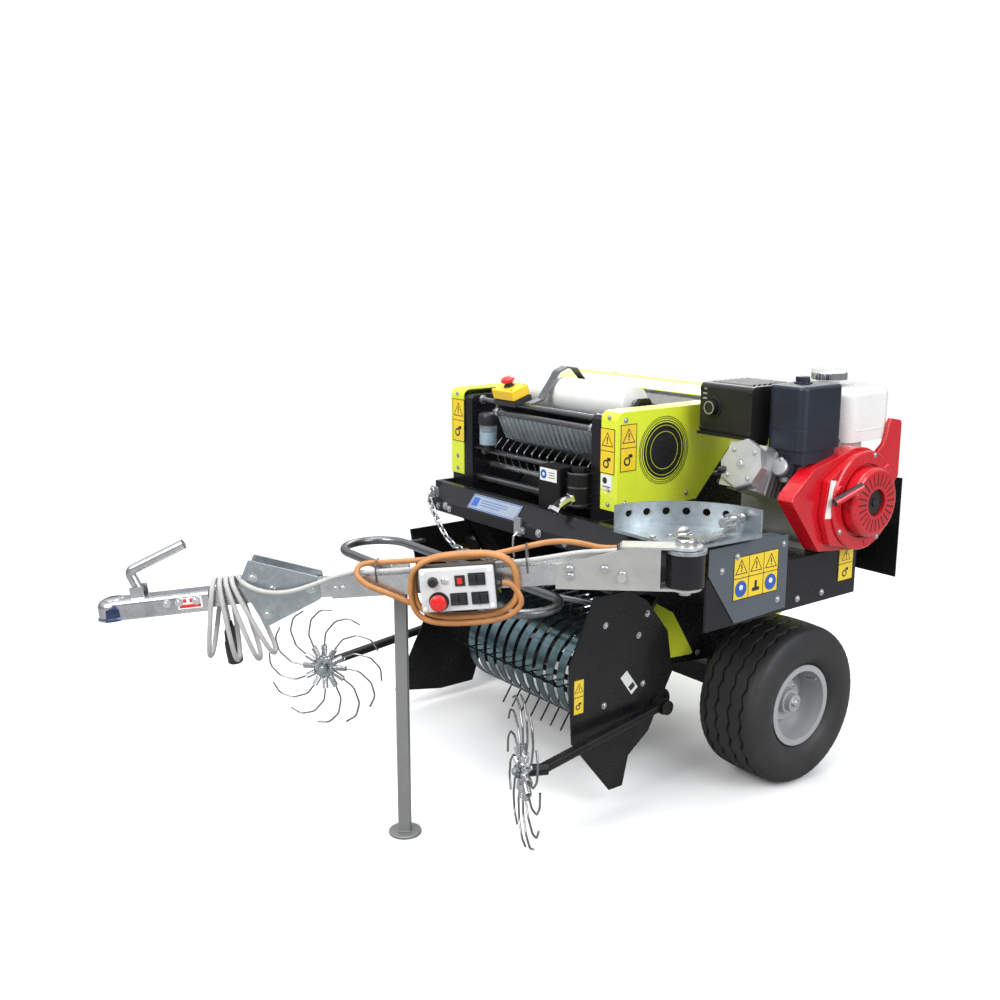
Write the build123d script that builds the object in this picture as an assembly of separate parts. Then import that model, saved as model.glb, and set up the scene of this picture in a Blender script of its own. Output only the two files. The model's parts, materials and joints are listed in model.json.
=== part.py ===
from build123d import *
from math import atan2, cos, degrees, radians, sin, tan
import os

# Small towed round baler with its own engine. Sizes in mm.
# The pieces are drawn with x = 0 on the centreline (+X is the machine's left), y = 0 over the wheel
# axle (-Y is the way it is towed) and z = 0 on the ground. Each piece is then moved by ORIGIN, so
# that the finished part stands with its origin under the middle of its overall box.
ORIGIN = Pos(-76, 609, 0)

# Shared clearances and stock
PLATE = 6            # heavy plate
SHEET = 3            # cover sheet
RUNNING_GAP = 0.05   # radial gap of a shaft in its bore
PIN_GAP = 0.5        # radial gap of a pivot pin in a plate
SLIDE_GAP = 0.6      # gap round a leg in its sleeve
MOVING_GAP = 6       # gap between things that move past each other

# Wheels and axle
TRACK = 1160
TYRE_R = 228.5
TYRE_W = 212
TYRE_WALL = 13
RIM_R = 103
RIM_LIP_R = 116
RIM_W = 172
RIM_T = 4
HUB_R = 38
HUB_L = 74
STUB_R = 17.5
AXLE_SIZE = 60
AXLE_WALL = 5
AXLE_END_X = 440

# Bale chamber
CHAMBER_Y = 80
CHAMBER_Z = 690
BALE_R = 275
ROLLER_R = 36
ROLLER_RING_R = BALE_R + ROLLER_R + 2
SHELL_R = ROLLER_RING_R + ROLLER_R + 5
WALL_X = 275         # inner face of the chamber's side walls
SPLIT_Y = 150        # plane between the fixed part and the tailgate
COVER_X = 382        # outer face of the yellow covers
FRAME_X = COVER_X - SHEET - PLATE    # inner face of the outer side plates
FRONT_Y = -451       # front face of the yellow covers
COVER_TOP = 1056
COVER_LOW = 790
PILLAR_W = 65
COVER_BEND_R = 24

# Net roll, hood and the rods in the front opening
NET_Y = -265
NET_Z = 1053
NET_R = 50
NET_CORE_R = 11
ROD_R = 8
HOOD_HINGE = (112, 1070)
TAIL_HINGE = (SPLIT_Y, 1056)
HINGE_PIN_R = 7

# Front beam, drawbar post and swing sector
BEAM_BACK = -500
BEAM_FRONT = -560
BEAM_LOW = 690
BEAM_TOP = 770
BEAM_END_X = -330
PIVOT = (740, -560)
POST_R = 46
POST_LOW = BEAM_LOW + 2
POST_TOP = BEAM_TOP + 4
PIVOT_PIN_R = 15
SECTOR_T = 8
SECTOR_R = 250
SECTOR_BAND_H = 62
SECTOR_HOLE_R = 10
SECTOR_HOLE_UP = 44
SECTOR_FIRST = 98
SECTOR_STEP = 12
SECTOR_HOLES = 7
EAR_T = 6
EAR_GAP = 2

# Drawbar: angles seen from above, falling towards the coupling
DRAWBAR_TURN = degrees(atan2(-738, -663))
DRAWBAR_FALL = 90 / 992
TUBE = 50
TUBE_WALL = 4
INNER_TUBE = 40
TUBE_START = 120
TUBE_END = 850
ELBOW = 992
BRACKET_END = 305
WEB_ALONG = 146      # plate across the bracket that the hose and the cable come out of
BOX_ALONG = 535
BOX_SIZE = (176, 58, 104)
BOX_DROP = 6
GLAND_L = 16
GLAND_UP = 2
BRACKET_T = 5
COUPLING_TURN = degrees(atan2(-350, -260))
COUPLING_FALL = 50 / 436
COUPLING_L = 436
COUPLER_L = 280
COUPLER_HALF_W = 31
COUPLER_H = 44
NOSE_R = 36
BALL_R = 25.2
SOCKET_SKIRT = 16
DRAWBAR_Z = 746
HANDLE_BACK = 106
HANDLE_UP = 37
HANDLE_PIN_R = 5

# Jack leg beside the drawbar
LEG_ALONG = 689
LEG_W = 30
LEG_TOP = 745
FOOT_R = 42
FOOT_T = 8
SLEEVE_W = 42
SLEEVE_Z = (648, 712)

# Hose and cable along the drawbar, points in the tube's or the coupling's frame
HOSE_R = 7
CABLE_R = 6
HOSE_RUN = ((150, -10, 46), (190, -10, 46), (236, -9, 62), (285, -9, 72), (335, -8, 71), (395, -8, 60),
            (460, -7, 50), (545, -8, 48), (630, -7, 49), (700, -6, 49), (752, -2, 52), (779, 14, 52),
            (782, 42, 34), (756, 46, 8), (716, 45, -12), (676, 46, -32), (642, 47, -60))
HOSE_LEAD = ((431, 54, -4), (418, 54, -4), (404, 52, -16), (396, 50, -38))
HOSE_COIL_AT = (521, 47, -7)
HOSE_COIL_SIZE = (280, 184)
HOSE_COIL_WIDTH = 22
HOSE_COIL_DEPTH = 30
CABLE_RUN = ((150, 12, 45), (195, 12, 45), (245, 12, 47), (300, 11, 41), (360, 10, 35), (430, 10, 32),
             (505, 10, 32), (590, 10, 33), (680, 11, 32), (765, 12, 33), (822, 26, 36), (880, 45, 20),
             (950, 49, 3), (1010, 51, 9), (1062, 52, 28), (1094, 44, 46))
HANK_OUTLINE = ((88, 62), (128, 62), (194, -150), (184, -172), (30, -176), (16, -150), (70, -20))
PLUG_AT = (146, -64, -148)
PLUG_R = 20
PLUG_L = 96
PLUG_NECK = 18
PLUG_LEAD = ((124, -36, -30), (130, -50, -48), (140, -62, -66), (146, -64, -82))

# Pickup
PICKUP_Y = -340
PICKUP_Z = 262
PICKUP_PLATE_X = 460
BAND_R = 140
BAND_T = 2.5
BAND_W = 32
BAND_COUNT = 11
BAND_LOW_ANGLE = 238
BAND_PITCH = 48
REEL_SHAFT_R = 16
TINE_BAR_R = 8
TINE_RING_R = 96
TINE_R = 2.6
TINE_TIP_R = 222
TINE_BARS = 4

# Finger wheels
FINGER_HUB = {1: (502, -858, 214), -1: (490, -868, 196)}    # side: (distance out, y, z)
FINGER_TURN = {1: 64, -1: 50}    # the wheel's axis points outwards and back, seen from above
FINGER_COUNT = 12
FINGER_PATH = ((0, 66), (6, 112), (40, 152), (84, 164), (120, 146))    # (sideways, outwards)
FINGER_BEND = 32
FINGER_R = 2.8
FINGER_HUB_R = 34
STUB_END_R = 9
ARM_PIVOT = (PICKUP_PLATE_X + PLATE, -370, 262)
ARM_R = 14
ARM_PIN_R = 12

# Crop hoop over the pickup
HOOP_X = 450
HOOP_Y = (-850, -650)
HOOP_Z = 590
HOOP_R = 12.5
HOOP_STAY_Y = -520

# Engine and its platform
PLATFORM_X = (390, 726)
PLATFORM_Y = (-470, 124)
PLATFORM_Z = (551, 685)
CRANK_Y = 50
CRANK_Z = 828
FAN_X = (716, 786)
FAN_R = 140
RECOIL_R = 92
RECOIL_FACE_X = 830
RECOIL_SLOTS = 24
HEAD_TILT = 20
HEAD_REACH = 322
CYLINDER_X = 596
REAR_PANEL_Y = 300
TANK_LOW = 968
TANK_H = 144
TANK_TOP = TANK_LOW + TANK_H
TANK_CAP_AT = (609, 116)
TANK_CAP_R = 46
TANK_CAP_H = 30
CLEANER_LOW = 970
CLEANER_H = 164
CLEANER_TOP = CLEANER_LOW + CLEANER_H
KNOB_R = 18


def block(x0, x1, y0, y1, z0, z1):
    """A box given by its low and high sides."""
    return Pos((x0 + x1) / 2, (y0 + y1) / 2, (z0 + z1) / 2) * Box(x1 - x0, y1 - y0, z1 - z0)


def rod(start, end, radius):
    """A round bar between two points."""
    way = Vector(*end) - Vector(*start)
    return extrude(Plane(origin=start, z_dir=way) * Circle(radius), way.length)


def bent_rod(points, radius, bend):
    """A round bar along straight runs joined by arcs."""
    path = FilletPolyline(*points, radius=bend)
    return sweep(Plane(origin=path @ 0, z_dir=path % 0) * Circle(radius), path=path)


def x_plate(outline, x0, x1, corner=0):
    """A plate across X from x0 to x1, its outline given in (y, z)."""
    face = Polygon(*outline, align=None)
    if corner:
        face = fillet(face.vertices(), corner)
    return extrude(Plane.YZ.offset(x0) * face, x1 - x0, dir=(1, 0, 0))


def y_plate(outline, y0, y1, corner=0):
    """A plate across Y from y0 to y1, its outline given in (x, z)."""
    face = Polygon(*outline, align=None)
    if corner:
        face = fillet(face.vertices(), corner)
    return extrude(Plane.XZ.offset(-y0) * face, y1 - y0, dir=(0, 1, 0))


def arc_band(inner, outer, low, high):
    """A flat ring sector in the XY plane, its angles in degrees."""
    ring = Circle(outer) - Circle(inner)
    reach = outer * 2
    steps = 4
    fan = [(0, 0)] + [(reach * cos(radians(low + (high - low) * i / steps)),
                       reach * sin(radians(low + (high - low) * i / steps))) for i in range(steps + 1)]
    return ring & Polygon(*fan, align=None)


def mirrored(shape):
    return mirror(shape, about=Plane.YZ)


def both_sides(name, left):
    """The left piece and its mirror image."""
    return {name + "_left": left, name + "_right": mirrored(left)}


# ------------------------------------------------------------------ wheels

def tyre():
    half = TYRE_W / 2
    bead = RIM_W / 2 - RIM_T - 2
    lip = RIM_LIP_R + 2
    outer = [Line((-bead, RIM_R), (-bead, lip)),
             Line((-bead, lip), (-half + 14, RIM_R + 24)),
             ThreePointArc((-half + 14, RIM_R + 24), (-half, RIM_R + 62), (-half + 9, TYRE_R - 20)),
             ThreePointArc((-half + 9, TYRE_R - 20), (-half + 18, TYRE_R - 8), (-half + 34, TYRE_R - 3)),
             ThreePointArc((-half + 34, TYRE_R - 3), (0, TYRE_R), (half - 34, TYRE_R - 3)),
             ThreePointArc((half - 34, TYRE_R - 3), (half - 18, TYRE_R - 8), (half - 9, TYRE_R - 20)),
             ThreePointArc((half - 9, TYRE_R - 20), (half, RIM_R + 62), (half - 14, RIM_R + 24)),
             Line((half - 14, RIM_R + 24), (bead, lip)),
             Line((bead, lip), (bead, RIM_R))]
    w = TYRE_WALL
    inner = [Line((bead, RIM_R), (bead - w, RIM_R)),
             Line((bead - w, RIM_R), (half - 14 - w, RIM_R + 26)),
             ThreePointArc((half - 14 - w, RIM_R + 26), (half - w, RIM_R + 62), (half - 30, TYRE_R - 16)),
             Line((half - 30, TYRE_R - 16), (-half + 30, TYRE_R - 16)),
             ThreePointArc((-half + 30, TYRE_R - 16), (-half + w, RIM_R + 62), (-half + 14 + w, RIM_R + 26)),
             Line((-half + 14 + w, RIM_R + 26), (-bead + w, RIM_R)),
             Line((-bead + w, RIM_R), (-bead, RIM_R))]
    return revolve(make_face(Wire(outer + inner)), Axis.X)


def rim():
    edge = RIM_W / 2
    barrel = Polygon((-edge, RIM_LIP_R), (-edge + RIM_T, RIM_LIP_R), (-edge + RIM_T, RIM_R),
                     (edge - RIM_T, RIM_R), (edge - RIM_T, RIM_LIP_R), (edge, RIM_LIP_R),
                     (edge, RIM_R - RIM_T), (-edge, RIM_R - RIM_T), align=None)
    # The disc is dished outwards round the hub, columns (x, radius)
    disc = [(6, RIM_R - RIM_T), (12, 74), (30, 58), (30, HUB_R - 2)]
    back = [(x - RIM_T, r) for x, r in reversed(disc)]
    return revolve(barrel + Polygon(*disc, *back, align=None), Axis.X)


def hub():
    front = HUB_L / 2 + 12
    outline = [(-HUB_L / 2, 0), (-HUB_L / 2, HUB_R), (20, HUB_R), (20, HUB_R + 20), (26, HUB_R + 20),
               (26, HUB_R), (front, HUB_R - 4), (front, HUB_R - 12), (front + 16, HUB_R - 14), (front + 16, 0)]
    body = revolve(Polygon(*outline, align=None), Axis.X)
    bore = Pos(-HUB_L / 2 + 45, 0, 0) * Rot(0, 90, 0) * Cylinder(STUB_R + RUNNING_GAP, 90)
    return body - bore


def wheel(side):
    """The pieces of one wheel, set on its end of the axle."""
    place = Pos(side * TRACK / 2, 0, TYRE_R)
    turn = Rot(0, 0, 0 if side > 0 else 180)
    return [place * turn * piece for piece in (tyre(), rim() + hub())]


def axle():
    outer = Box(2 * AXLE_END_X, AXLE_SIZE, AXLE_SIZE)
    core = Box(2 * AXLE_END_X - 2 * PLATE, AXLE_SIZE - 2 * AXLE_WALL, AXLE_SIZE - 2 * AXLE_WALL)
    stub_end = TRACK / 2 + HUB_L / 2 + 10
    stub = Pos((AXLE_END_X + stub_end) / 2, 0, 0) * Rot(0, 90, 0) * Cylinder(STUB_R, stub_end - AXLE_END_X)
    beam = Pos(0, 0, TYRE_R) * (outer - core + stub + mirrored(stub))
    top = TYRE_R + AXLE_SIZE / 2
    lug = block(FRAME_X - 30, FRAME_X, -34, 34, top, top + 66)
    return beam + lug + mirrored(lug)


# ------------------------------------------------------------------ chamber

def side_frame():
    """Side of the chamber: a pan with an outer plate that stands on the axle and carries the net bar."""
    front = FRONT_Y + SHEET
    rear = SPLIT_Y - MOVING_GAP
    axle_top = TYRE_R + AXLE_SIZE / 2
    pan = [(front + 10, 1040), (front, 1030), (front, 700), (-330, 520), (-236, 330), (rear, 330), (rear, 1040)]
    core = [(front + PLATE, 1040 - PLATE), (front + PLATE, 702), (-326, 524), (-232, 336),
            (rear - PLATE, 336), (rear - PLATE, 1040 - PLATE)]
    plate = [(front + 10, 1040), (front, 1030), (front, 690), (-330, 500), (-236, 318), (-60, 300), (-40, axle_top),
             (40, axle_top), (60, 300), (rear, 300), (rear, 1040)]
    side = x_plate(pan, WALL_X, FRAME_X) - x_plate(core, WALL_X + PLATE, FRAME_X)
    side += x_plate(plate, FRAME_X, FRAME_X + PLATE)
    cradle = x_plate([(NET_Y - 40, 1036), (NET_Y - 16, NET_Z + 18), (NET_Y + 16, NET_Z + 18),
                      (NET_Y + 40, 1036)], WALL_X + 3, WALL_X + 15)
    bar_end = rod((0, NET_Y, NET_Z), (WALL_X + 8, NET_Y, NET_Z), NET_CORE_R + RUNNING_GAP)
    return side + cradle - bar_end


def side_cover():
    """Yellow upper cover, open inwards and below, with a broad front flange."""
    inner_x = COVER_X - PILLAR_W
    rear = SPLIT_Y - 14
    outline = [(FRONT_Y, COVER_LOW), (-149, COVER_LOW), (-20, 925), (rear, 925), (rear, COVER_TOP),
               (FRONT_Y, COVER_TOP)]
    hollow = [(FRONT_Y + SHEET, COVER_LOW - 1), (rear + 1, COVER_LOW - 1), (rear + 1, COVER_TOP - SHEET),
              (FRONT_Y + SHEET, COVER_TOP - SHEET)]

    def bent(points, radius):
        face = Polygon(*points, align=None)
        return fillet(face.vertices().sort_by_distance((FRONT_Y, COVER_TOP))[0], radius)

    body = extrude(Plane.YZ.offset(inner_x) * bent(outline, COVER_BEND_R), PILLAR_W, dir=(1, 0, 0))
    core = Plane.YZ.offset(inner_x) * bent(hollow, COVER_BEND_R - SHEET)
    return body - extrude(core, PILLAR_W - SHEET, dir=(1, 0, 0))


def lower_guard():
    """Yellow guard below the cover, in front of the wheel."""
    outline = [(-345, 514), (-250, 338), (-136, 330), (-225, 470), (-297, 512)]
    x = FRAME_X + PLATE
    return x_plate(outline, x, x + SHEET, corner=6)


def top_plate():
    """Fixed deck behind the net roll, with the lugs of the hood's and tailgate's hinges."""
    half = COVER_X - PILLAR_W - 1
    rear = SPLIT_Y - 16
    plate = x_plate([(-170, 1044), (-44, 1054), (-40, 1054), (-40, 1044), (rear, 1044), (rear, 1040),
                     (-43, 1040), (-43, 1050), (-170, 1040)], -half, half)
    plate += block(-FRAME_X, FRAME_X, -38, rear, 1040, 1044)
    for pin, place in ((HOOD_HINGE, 250), (TAIL_HINGE, 294)):
        pin_y, pin_z = pin
        lug = [(pin_y - 34, 1042), (pin_y - 9, pin_z + 9), (pin_y + 9, pin_z + 9), (pin_y + 9, pin_z - 7),
               (rear, 1042)]
        for x in (-place, place):
            plate += x_plate(lug, x - 4, x + 4)
        plate -= rod((-340, pin_y, pin_z), (340, pin_y, pin_z), HINGE_PIN_R)
    return plate


def floor_plate():
    return block(-WALL_X, WALL_X, 60, SPLIT_Y - MOVING_GAP, 334, 340)


def rollers(angles):
    """Bale rollers round the chamber, between the side walls."""
    found = []
    for angle in angles:
        y = CHAMBER_Y + ROLLER_RING_R * cos(radians(angle))
        z = CHAMBER_Z + ROLLER_RING_R * sin(radians(angle))
        body = rod((-WALL_X + 6, y, z), (WALL_X - 6, y, z), ROLLER_R)
        found.append(body + rod((-WALL_X, y, z), (WALL_X, y, z), 12))
    return found


FRONT_ROLLERS = (95, 120, 145, 170, 195, 258)
TAIL_ROLLERS = (64, 38, 12, -14, -40, -66)


def tail_section(radius, x0, x1):
    """The rear part of a drum about the chamber's centre, behind the split plane."""
    drum = Pos((x0 + x1) / 2, CHAMBER_Y, CHAMBER_Z) * Rot(0, 90, 0) * Cylinder(radius, x1 - x0)
    return drum & block(x0, x1, SPLIT_Y + 1, SPLIT_Y + 2 * radius, 0, 2 * CHAMBER_Z)


def tailgate():
    outer = FRAME_X + PLATE
    shell = tail_section(SHELL_R + SHEET, -outer, outer)
    shell -= tail_section(SHELL_R, -WALL_X, WALL_X)
    pocket = tail_section(SHELL_R, WALL_X + PLATE, FRAME_X)
    shell -= pocket
    shell -= mirrored(pocket)
    pin_y, pin_z = TAIL_HINGE
    for x in (-307, 307):
        shell += x_plate([(pin_y - 9, pin_z + 9), (pin_y + 9, pin_z + 9), (pin_y + 90, 1020),
                          (pin_y + 10, 1020), (pin_y - 9, pin_z - 8)], x - 5, x + 5)
    shell -= rod((-345, pin_y, pin_z), (345, pin_y, pin_z), HINGE_PIN_R + PIN_GAP)
    return shell


def hinge_pin(pin, half):
    return rod((-half, *pin), (half, *pin), HINGE_PIN_R)


def hood():
    """Lid over the net deck; it lifts at the front."""
    half = FRAME_X
    lid = x_plate([(-34, 1064), (26, 1082), (90, 1082), (94, 1079), (27, 1079), (-34, 1061)], -half, half)
    pin_y, pin_z = HOOD_HINGE
    for x in (-238, 238):
        lid += x_plate([(60, 1080), (94, 1080), (pin_y + 9, pin_z + 9), (pin_y + 9, pin_z - 9),
                        (pin_y - 9, pin_z - 9), (60, 1079)], x - 4, x + 4)
    return lid - rod((-260, pin_y, pin_z), (260, pin_y, pin_z), HINGE_PIN_R + PIN_GAP)


# ------------------------------------------------------------------ front opening

def front_rods():
    """Round bars across the front opening: rows of (y, z, radius, left end)."""
    rows = ((-415, 1026, ROD_R, -WALL_X), (-408, 868, 8, -WALL_X), (-420, 786, 10, -WALL_X))
    bars = [rod((start, y, z), (WALL_X, y, z), radius) for y, z, radius, start in rows]
    low = rod((-176, -437, 1000), (WALL_X, -437, 1000), ROD_R)
    hanger = x_plate([(-445, 992), (-429, 992), (-409, 1030), (-421, 1030)], -176, -172)
    bars[0] += low + hanger
    return bars + [rod((-WALL_X - 7, NET_Y, NET_Z), (WALL_X + 7, NET_Y, NET_Z), NET_CORE_R)]


def net_guide():
    """Curved sheet that the net slides down, hung behind the lower bar."""
    outline = [(-429, 1006), (-429, 984), (-400, 922), (-330, 892), (-329, 894), (-399, 924), (-427, 984),
               (-427, 1006)]
    return x_plate(outline, -170, WALL_X)


def net_comb():
    """Bar with a row of hooked wires that carries the net to the bale."""
    pieces = rod((-WALL_X, -372, 820), (WALL_X, -372, 820), 9)
    for i in range(14):
        x = -234 + 36 * i
        pieces += bent_rod([(x, -372, 822), (x, -392, 880), (x, -366, 906)], 1.8, 9)
    return pieces


def net_roll():
    ends = ((-250, NET_Y, NET_Z), (250, NET_Y, NET_Z))
    return rod(*ends, NET_R) - rod(*ends, NET_CORE_R + RUNNING_GAP)


def net_brake():
    """Bent flat arm that bears over the net roll."""
    outline = [(-406, 1026), (-350, 1040), (-290, 1119), (-262, 1130), (-226, 1124), (-150, 1047),
               (-146, 1048), (-224, 1129), (-261, 1135), (-293, 1123), (-353, 1045), (-406, 1031)]
    return x_plate(outline, -75, -45)


def drive_unit():
    """Net drive: an upright box, its motor and an elbow fitting, behind the beam."""
    box = fillet(block(112, 204, BEAM_BACK, BEAM_BACK + 60, BEAM_TOP - 66, 888).edges().filter_by(Axis.Z), 5)
    motor = Pos(246, BEAM_BACK + 36, 834) * Cylinder(32, 96)
    motor += Pos(246, BEAM_BACK + 36, 888) * Cylinder(22, 12)
    mount = block(200, 240, BEAM_BACK + 24, BEAM_BACK + 48, 800, 860)
    elbow = bent_rod([(246, BEAM_BACK + 20, 812), (246, BEAM_BACK - 18, 806), (252, BEAM_BACK - 58, 790)], 14, 16)
    return box + motor + mount + elbow


def oiler():
    """Cup and cap on a bracket from the right side wall."""
    cup = Pos(-214, -432, 926) * Cylinder(27, 66)
    cap = Pos(-214, -432, 976) * Cylinder(29, 34)
    neck = Pos(-214, -432, 888) * Cylinder(10, 12)
    return cup + cap + neck + block(-WALL_X, -214, -440, -424, 876, 884)


def stop_box():
    """Emergency stop box on the upper bar, tipped forwards."""
    place = Pos(-110, -424, 1058) * Rot(18, 0, 0)
    box = fillet(Box(100, 66, 50).edges().filter_by(Axis.Y), 7)
    return place * (box + Pos(0, 0, 32) * Cylinder(12, 14) + Pos(0, 0, 46) * Cylinder(20, 14))


# ------------------------------------------------------------------ beam, post and sector

def front_beam():
    section = [(BEAM_BACK, BEAM_LOW), (BEAM_BACK, BEAM_TOP), (BEAM_BACK - 22, BEAM_TOP),
               (BEAM_FRONT, BEAM_TOP - 48), (BEAM_FRONT, BEAM_LOW)]
    px, py = PIVOT
    beam = x_plate(section, BEAM_END_X, px - 56)
    web = block(px - 60, px, py + 18, BEAM_BACK, BEAM_LOW + 2, BEAM_TOP)
    post = Pos(px, py, (POST_LOW + POST_TOP) / 2) * Cylinder(POST_R, POST_TOP - POST_LOW)
    for x in (-FRAME_X, FRAME_X - PLATE):
        beam += block(x, x + PLATE, BEAM_BACK - 8, FRONT_Y + SHEET, 700, BEAM_TOP)
    beam += block(-FRAME_X, BEAM_END_X, BEAM_BACK - 20, BEAM_BACK, 700, BEAM_TOP)
    bore = Pos(px, py, POST_LOW) * Cylinder(PIVOT_PIN_R + RUNNING_GAP, 300)
    return beam + web + post - bore


def sector():
    """Swing sector: a flat plate with an upright drilled band round its rim."""
    low, high = SECTOR_FIRST - 12, SECTOR_FIRST + SECTOR_STEP * (SECTOR_HOLES - 1) + 10
    px, py = PIVOT
    plate = extrude(arc_band(0.01, SECTOR_R, low, high) + Circle(POST_R + 4), SECTOR_T)
    plate -= Pos(0, 0, SECTOR_T / 2) * Cylinder(PIVOT_PIN_R + RUNNING_GAP, 3 * SECTOR_T)
    band = extrude(arc_band(SECTOR_R - PLATE, SECTOR_R, low, high), SECTOR_T + SECTOR_BAND_H)
    for i in range(SECTOR_HOLES):
        hole = Pos(SECTOR_R, 0, SECTOR_HOLE_UP) * Rot(0, 90, 0) * Cylinder(SECTOR_HOLE_R, 40)
        band -= Rot(0, 0, SECTOR_FIRST + SECTOR_STEP * i) * hole
    return Pos(px, py, POST_TOP) * (plate + band)


# ------------------------------------------------------------------ drawbar

def plan_frame():
    """Level frame at the pivot: x along the drawbar, z up, z = 0 on the ground."""
    return Pos(*PIVOT, 0) * Rot(0, 0, DRAWBAR_TURN)


def fall_tilt(fall):
    return degrees(atan2(fall, 1))


def tube_frame():
    """Frame on the drawbar tube's centreline, x along the tube."""
    return Pos(*PIVOT, DRAWBAR_Z) * Rot(0, 0, DRAWBAR_TURN) * Rot(0, fall_tilt(DRAWBAR_FALL), 0)


def coupling_frame():
    """Frame at the elbow, x towards the nose of the coupling."""
    turn = radians(DRAWBAR_TURN)
    x, y = PIVOT[0] + ELBOW * cos(turn), PIVOT[1] + ELBOW * sin(turn)
    z = DRAWBAR_Z - ELBOW * DRAWBAR_FALL
    return Pos(x, y, z) * Rot(0, 0, COUPLING_TURN) * Rot(0, fall_tilt(COUPLING_FALL), 0)


def drawbar_bracket():
    low = POST_LOW - EAR_GAP - EAR_T
    high = POST_TOP + SECTOR_T + EAR_GAP
    half = TUBE / 2 + BRACKET_T
    ears = None
    for z in (low, high):
        ear = Pos(0, 0, z) * extrude(Circle(POST_R - 6) + Pos(75, 0, 0) * Rectangle(150, 2 * half), EAR_T)
        ears = ear if ears is None else ears + ear
    side = [(POST_R + 14, low), (POST_R + 14, high + EAR_T), (120, high + EAR_T), (BRACKET_END, 742),
            (BRACKET_END, low)]
    cheek = y_plate(side, TUBE / 2, half)
    bolt = Pos(150, half + 5, 716) * Rot(90, 0, 0) * Cylinder(11, 10)
    cheek += bolt
    bore = Pos(0, 0, 700) * Cylinder(PIVOT_PIN_R, 300)
    return plan_frame() * (ears + cheek + mirror(cheek, about=Plane.XZ) - bore)


def pivot_pin():
    low = POST_LOW - EAR_GAP - EAR_T - 14
    high = POST_TOP + SECTOR_T + EAR_GAP + EAR_T
    pin = Pos(0, 0, (low + high) / 2) * Cylinder(PIVOT_PIN_R, high - low)
    head = Pos(0, 0, high + 9) * Cylinder(26, 18)
    return plan_frame() * (pin + fillet(head.edges().sort_by(Axis.Z)[-1], 8))


def lock_arm():
    """Lock bar on the drawbar's top ear, with its spring pin drawn back from the sector."""
    high = POST_TOP + SECTOR_T + EAR_GAP + EAR_T
    turn = Pos(*PIVOT, 0) * Rot(0, 0, SECTOR_FIRST)
    bar = block(28, SECTOR_R - 62, -15, 15, high, high + 6)
    riser = block(SECTOR_R - 68, SECTOR_R - 50, -17, 17, high, POST_TOP + SECTOR_HOLE_UP + 14)
    pin_z = POST_TOP + SECTOR_HOLE_UP
    case = Pos(SECTOR_R - 60, 0, pin_z) * Rot(0, 90, 0) * Cylinder(12, 84)
    tip = Pos(SECTOR_R - 18, 0, pin_z) * Rot(0, 90, 0) * Cylinder(8, 12)
    return turn * (bar + riser + case + tip)


def drawbar_tube():
    main = Pos((TUBE_START + TUBE_END) / 2, 0, 0) * Box(TUBE_END - TUBE_START, TUBE, TUBE)
    main -= Pos((TUBE_START + TUBE_END) / 2, 0, 0) * Box(2 * TUBE_END, TUBE - 2 * TUBE_WALL, TUBE - 2 * TUBE_WALL)
    half = TUBE / 2
    main += block(WEB_ALONG, WEB_ALONG + 4, -half, half, half - 1, half + 30)
    return tube_frame() * main + jack_sleeve()


def drawbar_inner():
    """Inner tube that slides out of the main one, and its end at the elbow."""
    start = TUBE_END - 160
    gap = TUBE / 2 - TUBE_WALL
    tube = Pos((start + ELBOW + 20) / 2, 0, 0) * Box(ELBOW + 20 - start, 2 * gap, 2 * gap)
    tube -= Pos(start, 0, 0) * Box(2 * ELBOW, 2 * gap - 8, 2 * gap - 8)
    return tube_frame() * tube


def gusset():
    """Pair of kite-shaped plates that join the drawbar to the coupling."""
    kite = [(-116, 30), (-116, -26), (28, -84), (76, 34), (46, 88)]
    inner = TUBE / 2
    plate = y_plate(kite, inner, inner + PLATE, corner=5)
    for x, z in ((-92, 2), (0, 12), (44, 44), (22, -52)):
        plate -= Pos(x, 0, z) * Rot(90, 0, 0) * Cylinder(6.5, 200)
    base = coupling_frame() * Rot(0, 0, (DRAWBAR_TURN - COUPLING_TURN) / 2)
    return [base * plate, base * mirror(plate, about=Plane.XZ)]


def coupling_tube():
    half = INNER_TUBE / 2
    length = COUPLING_L - COUPLER_L + 60
    tube = Pos(26 + length / 2, 0, 0) * Box(length, 2 * half, 2 * half)
    return coupling_frame() * (tube - Pos(26 + length / 2, 0, 0) * Box(length + 2, 2 * half - 8, 2 * half - 8))


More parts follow.
